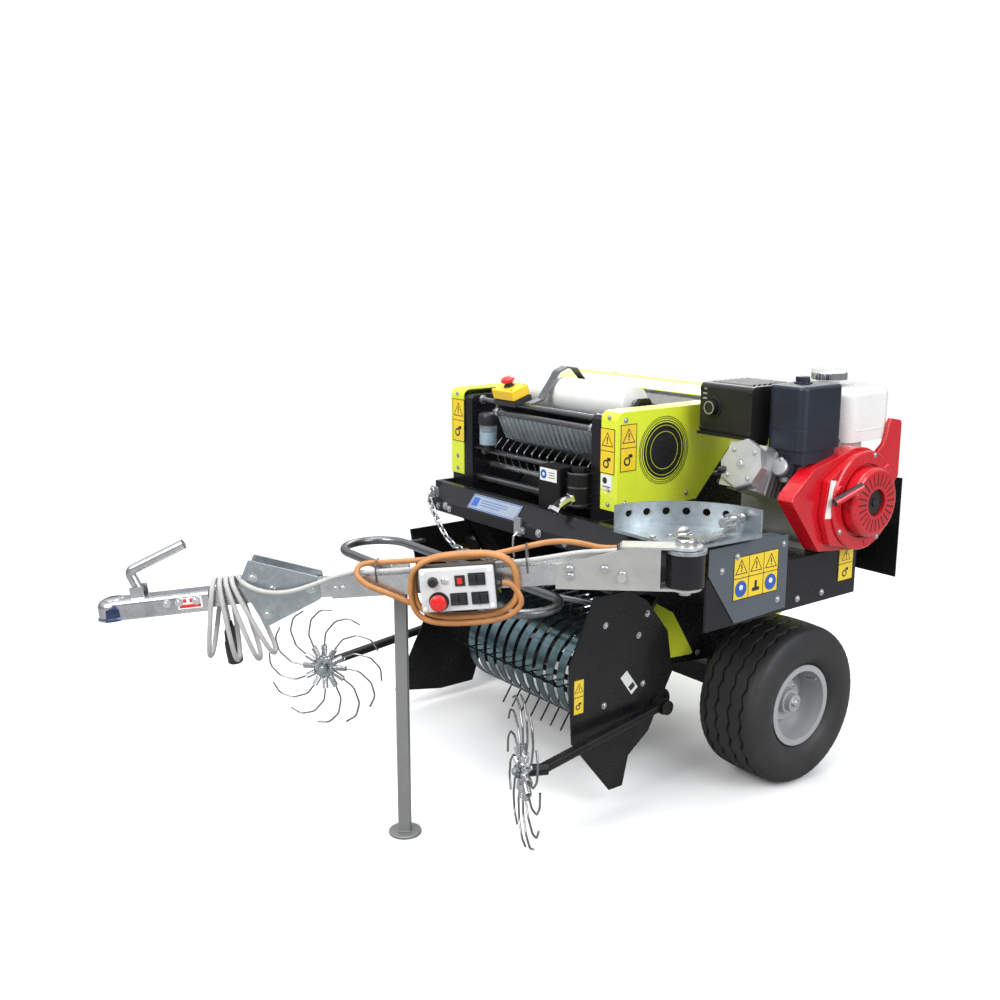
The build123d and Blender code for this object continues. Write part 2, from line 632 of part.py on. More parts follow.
def coupler():
    """Pressed ball coupling: a channel over the tube and a domed nose with its socket."""
    start = COUPLING_L - COUPLER_L
    nose_x = COUPLING_L - NOSE_R
    half = COUPLER_HALF_W
    top = COUPLER_H / 2 + 2
    profile = Polygon((-half, -top), (half, -top), (half, top), (-half, top), align=None)
    body = extrude(Plane.YZ.offset(start) * profile, nose_x - start)
    body = fillet(body.edges().filter_by(Axis.X).group_by(Axis.Z)[-1], 12)
    nose = Pos(nose_x, 0, 0) * Cylinder(NOSE_R, 2 * top)
    nose = fillet(nose.edges().sort_by(Axis.Z)[-1], 18)
    lip = Pos(nose_x, 0, -top + 2) * Cylinder(NOSE_R + 4, 4) + block(start, nose_x, -half - 4, half + 4, -top, -top + 4)
    body = body + nose + lip
    pocket_end = COUPLING_L - COUPLER_L + 90
    body -= block(start - 1, pocket_end, -INNER_TUBE / 2, INNER_TUBE / 2, -top - 1, INNER_TUBE / 2)
    body -= Pos(nose_x, 0, -top + SOCKET_SKIRT / 2) * Cylinder(BALL_R, SOCKET_SKIRT)
    body -= Pos(nose_x, 0, -top + SOCKET_SKIRT) * Sphere(BALL_R)
    pivot_x = COUPLING_L - HANDLE_BACK
    lug = block(pivot_x - 16, pivot_x + 16, 16, 21, top - 1, 50)
    pin = Pos(pivot_x, 0, HANDLE_UP) * Rot(90, 0, 0) * Cylinder(HANDLE_PIN_R, 42)
    return coupling_frame() * (body + lug + mirror(lug, about=Plane.XZ) + pin)


def coupler_handle():
    pivot_x = COUPLING_L - HANDLE_BACK
    points = [(pivot_x, 0, HANDLE_UP + 4), (pivot_x + 16, 0, 88), (pivot_x - 128, 0, 140)]
    lever = bent_rod(points, 12, 14)
    foot = Pos(pivot_x, 0, HANDLE_UP) * Rot(90, 0, 0) * Cylinder(11, 28)
    hole = Pos(pivot_x, 0, HANDLE_UP) * Rot(90, 0, 0) * Cylinder(HANDLE_PIN_R + PIN_GAP, 60)
    return coupling_frame() * (lever + foot - hole)


def leg_frame():
    """Upright frame on the jack leg's centreline, beside the drawbar tube."""
    return plan_frame() * Pos(LEG_ALONG, -(TUBE + SLEEVE_W) / 2, 0)


def jack_leg():
    half = LEG_W / 2
    foot = Pos(0, 0, FOOT_T / 2) * Cylinder(FOOT_R, FOOT_T)
    return leg_frame() * (foot + block(-half, half, -half, half, FOOT_T, LEG_TOP))


def jack_sleeve():
    gap = LEG_W / 2 + SLIDE_GAP
    half = SLEEVE_W / 2
    low, high = SLEEVE_Z
    ring = block(-half, half, -half, half, low, high) - block(-gap, gap, -gap, gap, low - 1, high + 1)
    return leg_frame() * ring


def control_box():
    """Switch box on the drawbar's outer side; its controls as rows of (x, z, half width, half height)."""
    length, depth, height = BOX_SIZE
    face = depth / 2
    box = fillet(Box(length, depth, height).edges().filter_by(Axis.Y), 4)
    box += Pos(46, face + 8, -26) * Rot(90, 0, 0) * Cylinder(19, 18)
    box += Pos(56, face + 6, 22) * Rot(90, 0, 0) * Cylinder(11, 14)
    for x, z, half_w, half_h in ((-8, 22, 11, 11), (-48, 24, 20, 14), (-2, -22, 20, 14), (-52, -22, 20, 14)):
        box += Pos(x, face + 2, z) * Box(2 * half_w, 8, 2 * half_h)
    box += Pos(-(length + GLAND_L) / 2, 0, GLAND_UP) * Rot(0, 90, 0) * Cylinder(11, GLAND_L)
    return tube_frame() * Pos(BOX_ALONG, TUBE / 2 + face, -BOX_DROP) * box


# ------------------------------------------------------------------ hose and cable

def cord(name, points, radius):
    """A cord of straight runs and arcs, each arc as large as its two runs allow."""
    spots = [Vector(*point) for point in points]
    runs = [b - a for a, b in zip(spots, spots[1:])]
    bends = []
    for before, after in zip(runs, runs[1:]):
        half_turn = radians(before.get_angle(after)) / 2
        bends.append(0.45 * min(before.length, after.length) / tan(half_turn))
    print(name, "radii", [round(bend) for bend in bends])
    path = FilletPolyline(*points, radius=bends)
    return sweep(Plane(origin=path @ 0, z_dir=path % 0) * Circle(radius), path=path)


def hose_coil():
    """Outer shape of the hose's turns round the control box."""
    length, height = HOSE_COIL_SIZE
    outer = RectangleRounded(length, height, 80)
    inner = RectangleRounded(length - 2 * HOSE_COIL_WIDTH, height - 2 * HOSE_COIL_WIDTH + 4, 40)
    x, y, z = HOSE_COIL_AT
    return tube_frame() * Pos(x, y, z) * Rot(90, 0, 0) * extrude(outer - inner, HOSE_COIL_DEPTH / 2, both=True)


def cable_hank():
    """Outer shape of the cable's turns hung over the coupling tube, clear of the tube and the gusset."""
    bundle = y_plate(HANK_OUTLINE, -40, 50, corner=6)
    tube_room = block(-ELBOW, ELBOW, -23, 23, -23, 24)
    gusset_room = block(-ELBOW, 84, -42, 42, -92, 100)
    return coupling_frame() * (bundle - tube_room - gusset_room)


def cable_plug():
    x, y, z = PLUG_AT
    body = fillet(Cylinder(PLUG_R, PLUG_L).edges(), 5)
    neck = Pos(0, 0, PLUG_L / 2 + PLUG_NECK / 2 - 1) * Cylinder(CABLE_R + 5, PLUG_NECK)
    return coupling_frame() * Pos(x, y, z) * (body + neck)


# ------------------------------------------------------------------ pickup and finger wheels

def pickup_plate(outline, side):
    """Pickup's side plate with its strut, the reel's bearing cup and the finger arm's pin."""
    plate = x_plate(outline, PICKUP_PLATE_X, PICKUP_PLATE_X + PLATE)
    plate += block(FRAME_X + PLATE, PICKUP_PLATE_X, -350, -312, 520, 546)
    axis = ((PICKUP_PLATE_X - 26, PICKUP_Y, PICKUP_Z), (PICKUP_PLATE_X, PICKUP_Y, PICKUP_Z))
    plate += rod(*axis, REEL_SHAFT_R + 16) - rod(*axis, REEL_SHAFT_R + RUNNING_GAP)
    x, y, z = ARM_PIVOT
    plate += rod((x, y, z), (x + 44, y, z), ARM_PIN_R) + rod((x + 44, y, z), (x + 50, y, z), 20)
    return plate if side > 0 else mirrored(plate)


LEFT_PLATE = [(-600, 600), (-680, 430), (-668, 218), (-534, 53), (-487, 53), (-467, 135), (-394, 188),
              (-308, 328), (-262, 440), (-330, 600)]
RIGHT_PLATE = [(-560, 600), (-508, 295), (-628, 69), (-451, 36), (-320, 36), (-240, 240), (-262, 440),
               (-330, 600)]


def pickup_bands():
    """Stripper bands: each hoops round the front of the reel and runs back to one crossbar."""
    top = PICKUP_Z + BAND_R
    ring = arc_band(BAND_R - BAND_T, BAND_R, 90, BAND_LOW_ANGLE)
    bar_y = -104
    found = block(-WALL_X, WALL_X, bar_y, bar_y + 12, top - 16, top)
    for i in range(BAND_COUNT):
        x = (i - (BAND_COUNT - 1) / 2) * BAND_PITCH - BAND_W / 2
        found += Pos(x, PICKUP_Y, PICKUP_Z) * extrude(Plane.YZ * ring, BAND_W, dir=(1, 0, 0))
        found += block(x, x + BAND_W, PICKUP_Y, bar_y + 12, top - BAND_T, top)
    return found


def pickup_reel():
    """Reel: a shaft with end discs, four tine bars and their double tines."""
    half = PICKUP_PLATE_X - MOVING_GAP
    reel = rod((-half, 0, 0), (half, 0, 0), REEL_SHAFT_R)
    disc_x = BAND_COUNT / 2 * BAND_PITCH + 8
    for x in (-disc_x, disc_x - 6):
        reel += Pos(x + 3, 0, 0) * Rot(0, 90, 0) * Cylinder(TINE_RING_R + 10, 6)
    for k in range(TINE_BARS):
        turn = 90 * k
        bar = rod((-disc_x, TINE_RING_R, 0), (disc_x, TINE_RING_R, 0), TINE_BAR_R)
        for i in range(BAND_COUNT - 1):
            x = (i + 1 - BAND_COUNT / 2) * BAND_PITCH
            root = (x, TINE_RING_R, 0)
            knee = (x, TINE_RING_R + 70, 0)
            tip = (x, TINE_TIP_R - 6, -34)
            bar += rod(root, knee, TINE_R) + Pos(*knee) * Sphere(TINE_R) + rod(knee, tip, TINE_R)
        reel += Rot(turn, 0, 0) * bar
    return Pos(0, PICKUP_Y, PICKUP_Z) * reel


def crop_hoop():
    """Flat bent tube over the pickup, on two stays from the pickup plates."""
    y0, y1 = HOOP_Y
    x = HOOP_X
    mid = (y0 + y1) / 2
    half = (y1 - y0) / 2
    ring = None
    for y in HOOP_Y:
        bar = rod((-x + half, y, HOOP_Z), (x - half, y, HOOP_Z), HOOP_R)
        ring = bar if ring is None else ring + bar
    for side in (-1, 1):
        centre = (side * (x - half), mid)
        section = Plane(origin=(centre[0], y0, HOOP_Z), z_dir=(1, 0, 0)) * Circle(HOOP_R)
        ring += revolve(section, Axis((centre[0], mid, HOOP_Z), (0, 0, side)), 180)
        stay_x = side * (PICKUP_PLATE_X - 14)
        ring += rod((side * (x - half), y1, HOOP_Z), (stay_x, HOOP_STAY_Y, 560), 8)
        ring += rod((stay_x, HOOP_STAY_Y, 560), (side * PICKUP_PLATE_X, HOOP_STAY_Y, 560), 8)
    return ring


def finger_wheel():
    """Wheel of sprung wire fingers in the plane x = 0 of its own frame, its stub pointing to +X."""
    hub_plate = Rot(0, 90, 0) * Cylinder(FINGER_HUB_R, 10)
    wheel_body = hub_plate + Pos(-12, 0, 0) * Rot(0, 90, 0) * Cylinder(16, 16)
    coil = rod((0, 0, FINGER_HUB_R - 6), (0, 0, 70), 8)
    # The finger leaves its spring straight, then sweeps round into a hook
    wire = bent_rod([(0, across, out) for across, out in FINGER_PATH], FINGER_R, FINGER_BEND)
    for i in range(FINGER_COUNT):
        wheel_body += Rot(360 / FINGER_COUNT * i, 0, 0) * (coil + wire)
    bore = Pos(25, 0, 0) * Rot(0, 90, 0) * Cylinder(STUB_END_R + RUNNING_GAP, 60)
    return wheel_body - bore


def finger_place(side):
    """The finger wheel's frame: its x axis points outwards along the stub."""
    x, y, z = FINGER_HUB[side]
    turn = FINGER_TURN[side]
    return Pos(side * x, y, z) * Rot(0, 0, turn if side > 0 else 180 - turn)


def finger_arm(side):
    """Arm from its pivot on the pickup plate to the finger wheel's stub, drawn on the left side."""
    ax, ay, az = ARM_PIVOT
    turn = radians(FINGER_TURN[side])
    way = Vector(cos(turn), sin(turn), 0)
    hub = Vector(*FINGER_HUB[side])
    stub = rod(tuple(hub - way * 3), tuple(hub + way * 60), STUB_END_R)
    boss = rod(tuple(hub + way * 12), tuple(hub + way * 62), 15)
    knee = hub + way * 46
    pivot = Vector(ax + 22, ay, az)
    bar = rod(tuple(knee), tuple(pivot), ARM_R)
    eye = rod((ax + MOVING_GAP, ay, az), (ax + 38, ay, az), 22)
    hole = rod((ax - 5, ay, az), (ax + 60, ay, az), ARM_PIN_R + RUNNING_GAP)
    arm = stub + boss + bar + eye - hole
    return arm if side > 0 else mirrored(arm)


# ------------------------------------------------------------------ engine

def platform():
    """Engine tray, open below and in front, with the plate that stands behind the engine."""
    x0, x1 = PLATFORM_X
    y0, y1 = PLATFORM_Y
    z0, z1 = PLATFORM_Z
    tray = block(x0, x1, y0, y1, z0, z1) - block(x0 + PLATE, x1 - PLATE, y0 - 1, y1 - PLATE, z0 - 1, z1 - PLATE)
    tray += block(FRAME_X + PLATE, x0, -60, y1, z0, z1 - 60)
    panel = block(560, 735, REAR_PANEL_Y, REAR_PANEL_Y + SHEET, 565, 850)
    return tray + panel + block(600, 640, y1 - 1, REAR_PANEL_Y, 640, 640 + PLATE)


def corner_guard():
    x = PLATFORM_X[1]
    outline = [(-467, 757), (-467, 695), (-367, 556), (-172, 562), (-172, 757)]
    plate = x_plate(outline, x, x + SHEET)
    return plate + block(x - 36, x + SHEET, -467, -200, 757, 757 + SHEET)


def cylinder_frame():
    """Frame on the cylinder's axis: z leans forwards and up from the crank."""
    tilt = radians(HEAD_TILT)
    return Plane(origin=(CYLINDER_X, CRANK_Y, CRANK_Z), x_dir=(1, 0, 0), z_dir=(0, -cos(tilt), sin(tilt)))


def engine_block():
    """Crankcase on its feet with the finned cylinder leaning forwards."""
    case = block(470, FAN_X[0], -60, 190, 700, 900)
    case = fillet(case.edges().filter_by(Axis.X), 30)
    body = case + block(480, 680, -40, 170, PLATFORM_Z[1], 702)
    frame = cylinder_frame()
    body += extrude(frame * Circle(52), HEAD_REACH - 60)
    for i in range(6):
        body += frame * Pos(0, 0, 150 + 16 * i) * Box(128, 124, 5)
    return body + frame * Pos(0, 0, HEAD_REACH - 70) * Box(124, 120, 40)


def head_cover():
    cover = extrude(cylinder_frame() * Pos(14, 0, HEAD_REACH - 50) * RegularPolygon(68, 8), 26)
    return fillet(cover.edges().group_by(Axis.Y)[0], 8)


def fan_cover():
    """Red cover of the cooling fan, drawn forwards and up over the cylinder, with its tank bracket."""
    x0, x1 = FAN_X
    disc = rod((x0, CRANK_Y, CRANK_Z), (x1, CRANK_Y, CRANK_Z), FAN_R)
    snout = x_plate([(-90, 705), (-214, 850), (-124, 925), (CRANK_Y, CRANK_Z + FAN_R),
                     (CRANK_Y, CRANK_Z - FAN_R + 1)], x0, x1 - 20)
    bracket = x_plate([(120, 900), (262, 1000), (300, 1012), (300, 850), (262, 850), (170, 800)], x0 + 6, x0 + 18)
    return disc + snout + bracket


def recoil():
    """Starter cover with its pull grip lying across the edge."""
    x0 = FAN_X[1]
    ring = rod((x0, CRANK_Y, CRANK_Z), (RECOIL_FACE_X, CRANK_Y, CRANK_Z), RECOIL_R)
    ring = fillet(ring.edges().group_by(Axis.X)[-1], 14)
    well = rod((RECOIL_FACE_X - 12, CRANK_Y, CRANK_Z), (RECOIL_FACE_X + 1, CRANK_Y, CRANK_Z), 36)
    slot = block(RECOIL_FACE_X - 4, RECOIL_FACE_X + 1, -2, 2, 44, 76)
    for i in range(RECOIL_SLOTS):
        ring -= Pos(0, CRANK_Y, CRANK_Z) * Rot(360 / RECOIL_SLOTS * i, 0, 0) * slot
    return ring - well + rod((x0 + 20, -92, 842), (829, -14, 878), 9.5)


def fuel_tank():
    """Tank on its saddle, with a broad screw cap."""
    body = block(500, 720, 62, 252, TANK_LOW, TANK_TOP)
    body = fillet(body.edges().filter_by(Axis.Z), 34)
    body = fillet(body.edges().group_by(Axis.Z)[-1], 22)
    saddle = block(560, 680, 80, 180, 900, TANK_LOW + 2)
    neck = Pos(*TANK_CAP_AT, TANK_TOP + 6) * Cylinder(TANK_CAP_R - 16, 20)
    cap = Pos(*TANK_CAP_AT, TANK_TOP + 14 + TANK_CAP_H / 2) * Cylinder(TANK_CAP_R, TANK_CAP_H)
    return body + saddle + neck + cap


def air_cleaner():
    body = block(626, 745, -158, 4, CLEANER_LOW, CLEANER_TOP)
    body = fillet(body.edges().filter_by(Axis.Z), 22)
    body = fillet(body.edges().group_by(Axis.Z)[-1], 10)
    neck = block(664, 712, -150, -70, 900, CLEANER_LOW + 2)
    return body + neck + Pos(676, -80, CLEANER_TOP + 6) * Cylinder(KNOB_R, 14)


def muffler():
    body = block(424, 604, -190, -34, 984, 1124)
    body = fillet(body.edges().filter_by(Axis.X), 16)
    return body + rod((470, -188, 1060), (470, -206, 1060), 20) + block(556, 596, -150, -110, 967, 986)


def save(parts):
    os.makedirs("parts", exist_ok=True)
    for name, shape in parts.items():
        if isinstance(shape, (list, tuple)):
            shape = Compound(children=[ORIGIN * piece for piece in shape])
        else:
            shape = ORIGIN * shape
        export_step(shape, f"parts/{name}.step")


def main():
    parts = {}
    for side, word in ((1, "left"), (-1, "right")):
        for name, piece in zip(("tyre", "rim"), wheel(side)):
            parts[f"{name}_{word}"] = piece
    parts["axle"] = axle()
    parts.update(both_sides("side_frame", side_frame()))
    parts.update(both_sides("side_cover", side_cover()))
    parts["lower_guards"] = [lower_guard(), mirrored(lower_guard())]
    parts["chamber_plates"] = [top_plate(), floor_plate()]
    parts["front_rollers"] = rollers(FRONT_ROLLERS)
    parts["tailgate"] = tailgate()
    parts["tail_rollers"] = rollers(TAIL_ROLLERS)
    parts["hood"] = hood()
    parts["hinge_pins"] = [hinge_pin(HOOD_HINGE, 258), hinge_pin(TAIL_HINGE, 314)]
    parts["front_rods"] = front_rods()
    parts["net_guide"] = net_guide()
    parts["net_comb"] = net_comb()
    parts["net_roll"] = net_roll()
    parts["net_brake"] = net_brake()
    parts["drive_unit"] = drive_unit()
    parts["oiler"] = oiler()
    parts["stop_box"] = stop_box()
    parts["front_beam"] = front_beam()
    parts["sector"] = sector()
    parts["drawbar_bracket"] = drawbar_bracket()
    parts["pivot_pin"] = [pivot_pin(), lock_arm()]
    parts["drawbar_tube"] = drawbar_tube()
    parts["inner_tubes"] = [drawbar_inner(), coupling_tube()]
    parts["gusset"] = gusset()
    parts["coupler"] = coupler()
    parts["coupler_handle"] = coupler_handle()
    parts["jack_leg"] = jack_leg()
    parts["control_box"] = control_box()
    parts["control_hose"] = tube_frame() * cord("control_hose", HOSE_RUN, HOSE_R)
    parts["hose_lead"] = tube_frame() * cord("hose_lead", HOSE_LEAD, HOSE_R)
    parts["hose_coil"] = hose_coil()
    parts["power_cable"] = tube_frame() * cord("power_cable", CABLE_RUN, CABLE_R)
    parts["cable_hank"] = cable_hank()
    parts["plug_lead"] = coupling_frame() * cord("plug_lead", PLUG_LEAD, CABLE_R)
    parts["cable_plug"] = cable_plug()
    parts["pickup_plate_left"] = pickup_plate(LEFT_PLATE, 1)
    parts["pickup_plate_right"] = pickup_plate(RIGHT_PLATE, -1)
    parts["pickup_bands"] = pickup_bands()
    parts["pickup_reel"] = pickup_reel()
    parts["crop_hoop"] = crop_hoop()
    parts["finger_wheel_left"] = finger_place(1) * finger_wheel()
    parts["finger_wheel_right"] = finger_place(-1) * mirror(finger_wheel(), about=Plane.XZ)
    parts["finger_arm_left"] = finger_arm(1)
    parts["finger_arm_right"] = finger_arm(-1)
    parts["engine_platform"] = platform()
    parts["corner_guard"] = corner_guard()
    parts["engine_block"] = [engine_block(), head_cover()]
    parts["fan_cover"] = fan_cover()
    parts["recoil"] = recoil()
    parts["fuel_tank"] = fuel_tank()
    parts["air_cleaner"] = air_cleaner()
    parts["muffler"] = muffler()
    save(parts)
    print(len(parts), "nodes")


main()
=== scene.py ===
import json
from math import atan, atan2, ceil, copysign, cos, pi, radians, sin

import bmesh
import bpy
from mathutils import Matrix, Vector


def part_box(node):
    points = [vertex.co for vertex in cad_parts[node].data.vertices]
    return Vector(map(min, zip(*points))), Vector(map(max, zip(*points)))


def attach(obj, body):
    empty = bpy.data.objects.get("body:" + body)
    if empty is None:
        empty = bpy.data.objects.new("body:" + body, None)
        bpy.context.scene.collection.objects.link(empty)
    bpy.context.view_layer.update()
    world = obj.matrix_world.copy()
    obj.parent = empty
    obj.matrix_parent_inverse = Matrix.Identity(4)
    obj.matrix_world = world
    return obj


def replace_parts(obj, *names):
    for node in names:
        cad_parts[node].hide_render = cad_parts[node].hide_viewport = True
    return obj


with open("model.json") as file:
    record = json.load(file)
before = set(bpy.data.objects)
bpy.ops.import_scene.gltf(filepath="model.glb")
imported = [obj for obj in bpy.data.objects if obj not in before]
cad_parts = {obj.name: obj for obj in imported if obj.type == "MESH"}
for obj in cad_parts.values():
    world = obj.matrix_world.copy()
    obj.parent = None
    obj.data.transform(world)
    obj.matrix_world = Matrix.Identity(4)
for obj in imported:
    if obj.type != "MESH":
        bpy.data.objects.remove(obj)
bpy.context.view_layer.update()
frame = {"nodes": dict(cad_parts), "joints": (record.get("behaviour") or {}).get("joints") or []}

MM = Matrix.Scale(0.001, 4)
ORIGIN, X, Y, Z = (0, 0, 0), (1, 0, 0), (0, 1, 0), (0, 0, 1)
AHEAD = (0, -1, 0)
MIDDLE = (0, 0)


# ------------ places

def middle(node):
    low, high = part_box(node)
    return (Vector(low) + Vector(high)) / 2


def joint(name):
    return next(found for found in frame["joints"] if found["name"] == name)


WHEELS = (middle("tyre_left") + middle("tyre_right")) / 2
ROW = Matrix.Translation((WHEELS.x, WHEELS.y, 0)) @ MM    # mm from the centreline, the axle and the ground
PIVOT = Vector(joint("drawbar_swing")["pos_m"])
ELBOW = 992                  # where the coupling tube starts, along the drawbar's tube
TUBE_HEADING = atan2(-738, -663)
NOSE_HEADING = atan2(-350, -260)
TUBE_DROP = 90
NOSE_DROP, NOSE_RUN = 50, 436


def falling(origin, heading, drop, run):
    """Frame of a tube that falls away from its start, in mm: x along it, z up."""
    turn = Matrix.Rotation(heading, 4, "Z") @ Matrix.Rotation(atan(drop / run), 4, "Y")
    return Matrix.Translation(origin) @ turn @ MM


TUBE = falling(PIVOT, TUBE_HEADING, TUBE_DROP, ELBOW)
NOSE = falling(TUBE @ Vector((ELBOW, 0, 0)), NOSE_HEADING, NOSE_DROP, NOSE_RUN)


def facing(origin, right, up):
    """Frame of a flat face: x to the right, y up and z out of it, in mm."""
    right, up = Vector(right).normalized(), Vector(up).normalized()
    turn = Matrix((right, up, right.cross(up))).transposed().to_4x4()
    return ROW @ Matrix.Translation(origin) @ turn


# ------------ camera

CAMERA_PLACE = (2555, -2481, 1448)
CAMERA_TURN = (78.09, 0, 52.909)
LENS = 41.13


def shown(name, data):
    """A new object in the scene."""
    made = bpy.data.objects.new(name, data)
    bpy.context.scene.collection.objects.link(made)
    return made


camera = shown("camera", bpy.data.cameras.new("camera"))
camera.location = ROW @ Vector(CAMERA_PLACE)
camera.rotation_euler = [radians(angle) for angle in CAMERA_TURN]
camera.data.lens = LENS
bpy.context.scene.camera = camera
bpy.context.scene.view_settings.view_transform = "Standard"


# ------------ materials

SPANGLE_GRAIN = 85
DUST, DUST_TOP = (0.30, 0.26, 0.20), 0.75     # its colour, and how far up it reaches in metres


def feed(tree, made, inputs):
    """Sets a node's inputs to numbers and colours, or joins them to other nodes' outputs."""
    for key, value in inputs.items():
        socket = made.inputs[key]
        if isinstance(value, bpy.types.NodeSocket):
            tree.links.new(value, socket)
        else:
            socket.default_value = (*value, 1) if socket.type == "RGBA" else value


def node(tree, kind, inputs=None, **settings):
    """A new node with its settings and inputs."""
    made = tree.nodes.new("ShaderNode" + kind)
    for key, value in settings.items():
        setattr(made, key, value)
    feed(tree, made, inputs or {})
    return made


def noise(tree, coords, scale, detail=4.0, stretch=(1, 1, 1)):
    stretched = node(tree, "Mapping", {"Vector": coords, "Scale": stretch}).outputs["Vector"]
    return node(tree, "TexNoise", {"Vector": stretched, "Scale": scale, "Detail": detail}).outputs["Fac"]


def ranged(tree, source, low, high, start=0.3, stop=0.7):
    return node(tree, "MapRange", {"Value": source, "From Min": start, "From Max": stop, "To Min": low,
                                   "To Max": high}).outputs["Result"]


def mixed(tree, factor, first, second):
    """One colour turning into another as the factor goes from 0 to 1."""
    made = node(tree, "Mix", {"Factor": factor}, data_type="RGBA")
    colours = [i for i, socket in enumerate(made.inputs) if socket.type == "RGBA"]
    feed(tree, made, dict(zip(colours, (first, second))))
    return next(socket for socket in made.outputs if socket.type == "RGBA")


def multiplied(tree, first, second):
    return node(tree, "Math", {0: first, 1: second}, operation="MULTIPLY").outputs["Value"]


def shade(colour, amount):
    return tuple(min(1.0, max(0.0, value * amount)) for value in colour)


def material(name, colour, rough=0.5, metal=0.0, vary=0.12, grain=14.0, bump=0.05, bump_grain=220.0,
             stretch=(1, 1, 1), coat=0.0, dust=0.0, spangle=0.0, edge_wear_and_highlight=0.0, shine=0.5):
    """A finish with uneven colour and roughness, fine relief, dust low down, and a lighter copy of the colour
    on the edges that is partly wear and partly painted highlight.
    """
    made = bpy.data.materials.new(name)
    made.use_nodes = True
    tree = made.node_tree
    coords = node(tree, "TexCoord").outputs["Object"]
    broad = noise(tree, coords, grain, stretch=stretch)
    fine = noise(tree, coords, bump_grain, 6.0, stretch)
    tint = mixed(tree, ranged(tree, broad, 0, 1), shade(colour, 1 - vary), shade(colour, 1 + vary))
    if spangle:
        cells = node(tree, "TexVoronoi", {"Vector": coords, "Scale": SPANGLE_GRAIN}).outputs["Color"]
        grey = node(tree, "RGBToBW", {"Color": cells}).outputs["Val"]
        tint = mixed(tree, ranged(tree, grey, 0, spangle, 0, 1), tint, shade(colour, 0.55))
    # Sharp convex edges take a lighter copy of the colour: partly edge wear, partly painted highlight.
    if edge_wear_and_highlight:
        edge = ranged(tree, node(tree, "NewGeometry").outputs["Pointiness"], 0, edge_wear_and_highlight, 0.52, 0.6)
        tint = mixed(tree, edge, tint, shade(colour, 1.9))
    if dust:
        height = node(tree, "SeparateXYZ", {"Vector": coords}).outputs["Z"]
        patches = ranged(tree, noise(tree, coords, 9, 8.0), 0, dust, 0.42, 0.68)
        tint = mixed(tree, multiplied(tree, ranged(tree, height, 1, 0, 0.0, DUST_TOP), patches), tint, DUST)
    relief = node(tree, "Bump", {"Strength": bump, "Distance": 0.001, "Height": fine}).outputs["Normal"]
    roughness = ranged(tree, fine, max(0.03, rough * 0.75), min(1, rough * 1.3))
    feed(tree, tree.nodes["Principled BSDF"], {
        "Base Color": tint, "Roughness": roughness, "Metallic": metal, "Coat Weight": coat,
        "Coat Roughness": 0.08, "Specular IOR Level": shine, "Normal": relief})
    return made


LIME = material("lime_paint", (0.56, 0.70, 0.030), 0.30, vary=0.04, coat=0.4, dust=0.05, bump=0.03, edge_wear_and_highlight=0.3)
BLACK = material("black_paint", (0.0055, 0.0055, 0.0065), 0.28, vary=0.3, coat=0.1, dust=0.04, bump=0.05,
                 edge_wear_and_highlight=0.8, shine=0.3)
BLACK_FLAT = material("black_inside", (0.007, 0.007, 0.008), 0.5, vary=0.3, dust=0.03, bump=0.1, shine=0.25)
SLATE = material("slate_paint", (0.055, 0.068, 0.078), 0.42, vary=0.12, dust=0.05, bump=0.08, edge_wear_and_highlight=0.6)
ZINC = material("zinc_plate", (0.50, 0.51, 0.52), 0.27, 0.95, vary=0.20, grain=22, bump=0.10, edge_wear_and_highlight=0.2)
STEEL = material("dark_steel", (0.20, 0.205, 0.21), 0.30, 0.95, vary=0.25, stretch=(0.15, 1, 1), bump=0.10)
GALVANISED = material("galvanised", (0.47, 0.52, 0.55), 0.35, 0.9, vary=0.1, spangle=0.45, bump=0.06)
WIRE = material("spring_wire", (0.25, 0.255, 0.26), 0.22, 1.0, vary=0.2, grain=40, bump=0.05)
BAND = material("band_steel", (0.16, 0.24, 0.27), 0.20, 0.95, vary=0.25, grain=20, bump=0.08)
NAVY = material("nose_blue", (0.045, 0.07, 0.15), 0.25, 0.7, vary=0.2, coat=0.3, bump=0.04)
GREY = material("grey_paint", (0.22, 0.225, 0.22), 0.36, 0.45, vary=0.08, bump=0.08, dust=0.08, edge_wear_and_highlight=0.3)
CHANNEL = material("channel_zinc", (0.50, 0.50, 0.48), 0.36, 0.6, vary=0.12, bump=0.08, edge_wear_and_highlight=0.2)
RED = material("red_gloss", (0.50, 0.005, 0.012), 0.24, vary=0.08, coat=0.5, bump=0.03, edge_wear_and_highlight=0.2)
TANK_WHITE = material("tank_white", (0.80, 0.80, 0.78), 0.26, vary=0.03, coat=0.5, bump=0.03)
CASE = material("moulded_navy", (0.009, 0.013, 0.024), 0.42, vary=0.2, bump=0.18, bump_grain=700)
SHIELD = material("muffler_black", (0.007, 0.007, 0.007), 0.42, vary=0.3, bump=0.15, bump_grain=500)
ALLOY = material("cast_alloy", (0.52, 0.53, 0.54), 0.38, 0.8, vary=0.18, bump=0.35, bump_grain=420, dust=0.1)
CHROME = material("chrome", (0.72, 0.73, 0.75), 0.12, 1.0, vary=0.05, bump=0.03)
RIM = material("rim_silver", (0.46, 0.47, 0.48), 0.38, 0.35, vary=0.03, coat=0.2, bump=0.05, dust=0.06)
RUBBER = material("tyre_rubber", (0.021, 0.021, 0.022), 0.55, vary=0.15, bump=0.25, bump_grain=500, dust=0.04)
PLASTIC = material("black_plastic", (0.014, 0.014, 0.016), 0.36, vary=0.2, bump=0.15, bump_grain=800)
PALE = material("pale_plastic", (0.62, 0.63, 0.63), 0.42, vary=0.05, bump=0.12, bump_grain=900)
YELLOW = material("stop_yellow", (0.86, 0.56, 0.02), 0.34, vary=0.05, bump=0.08, bump_grain=900)
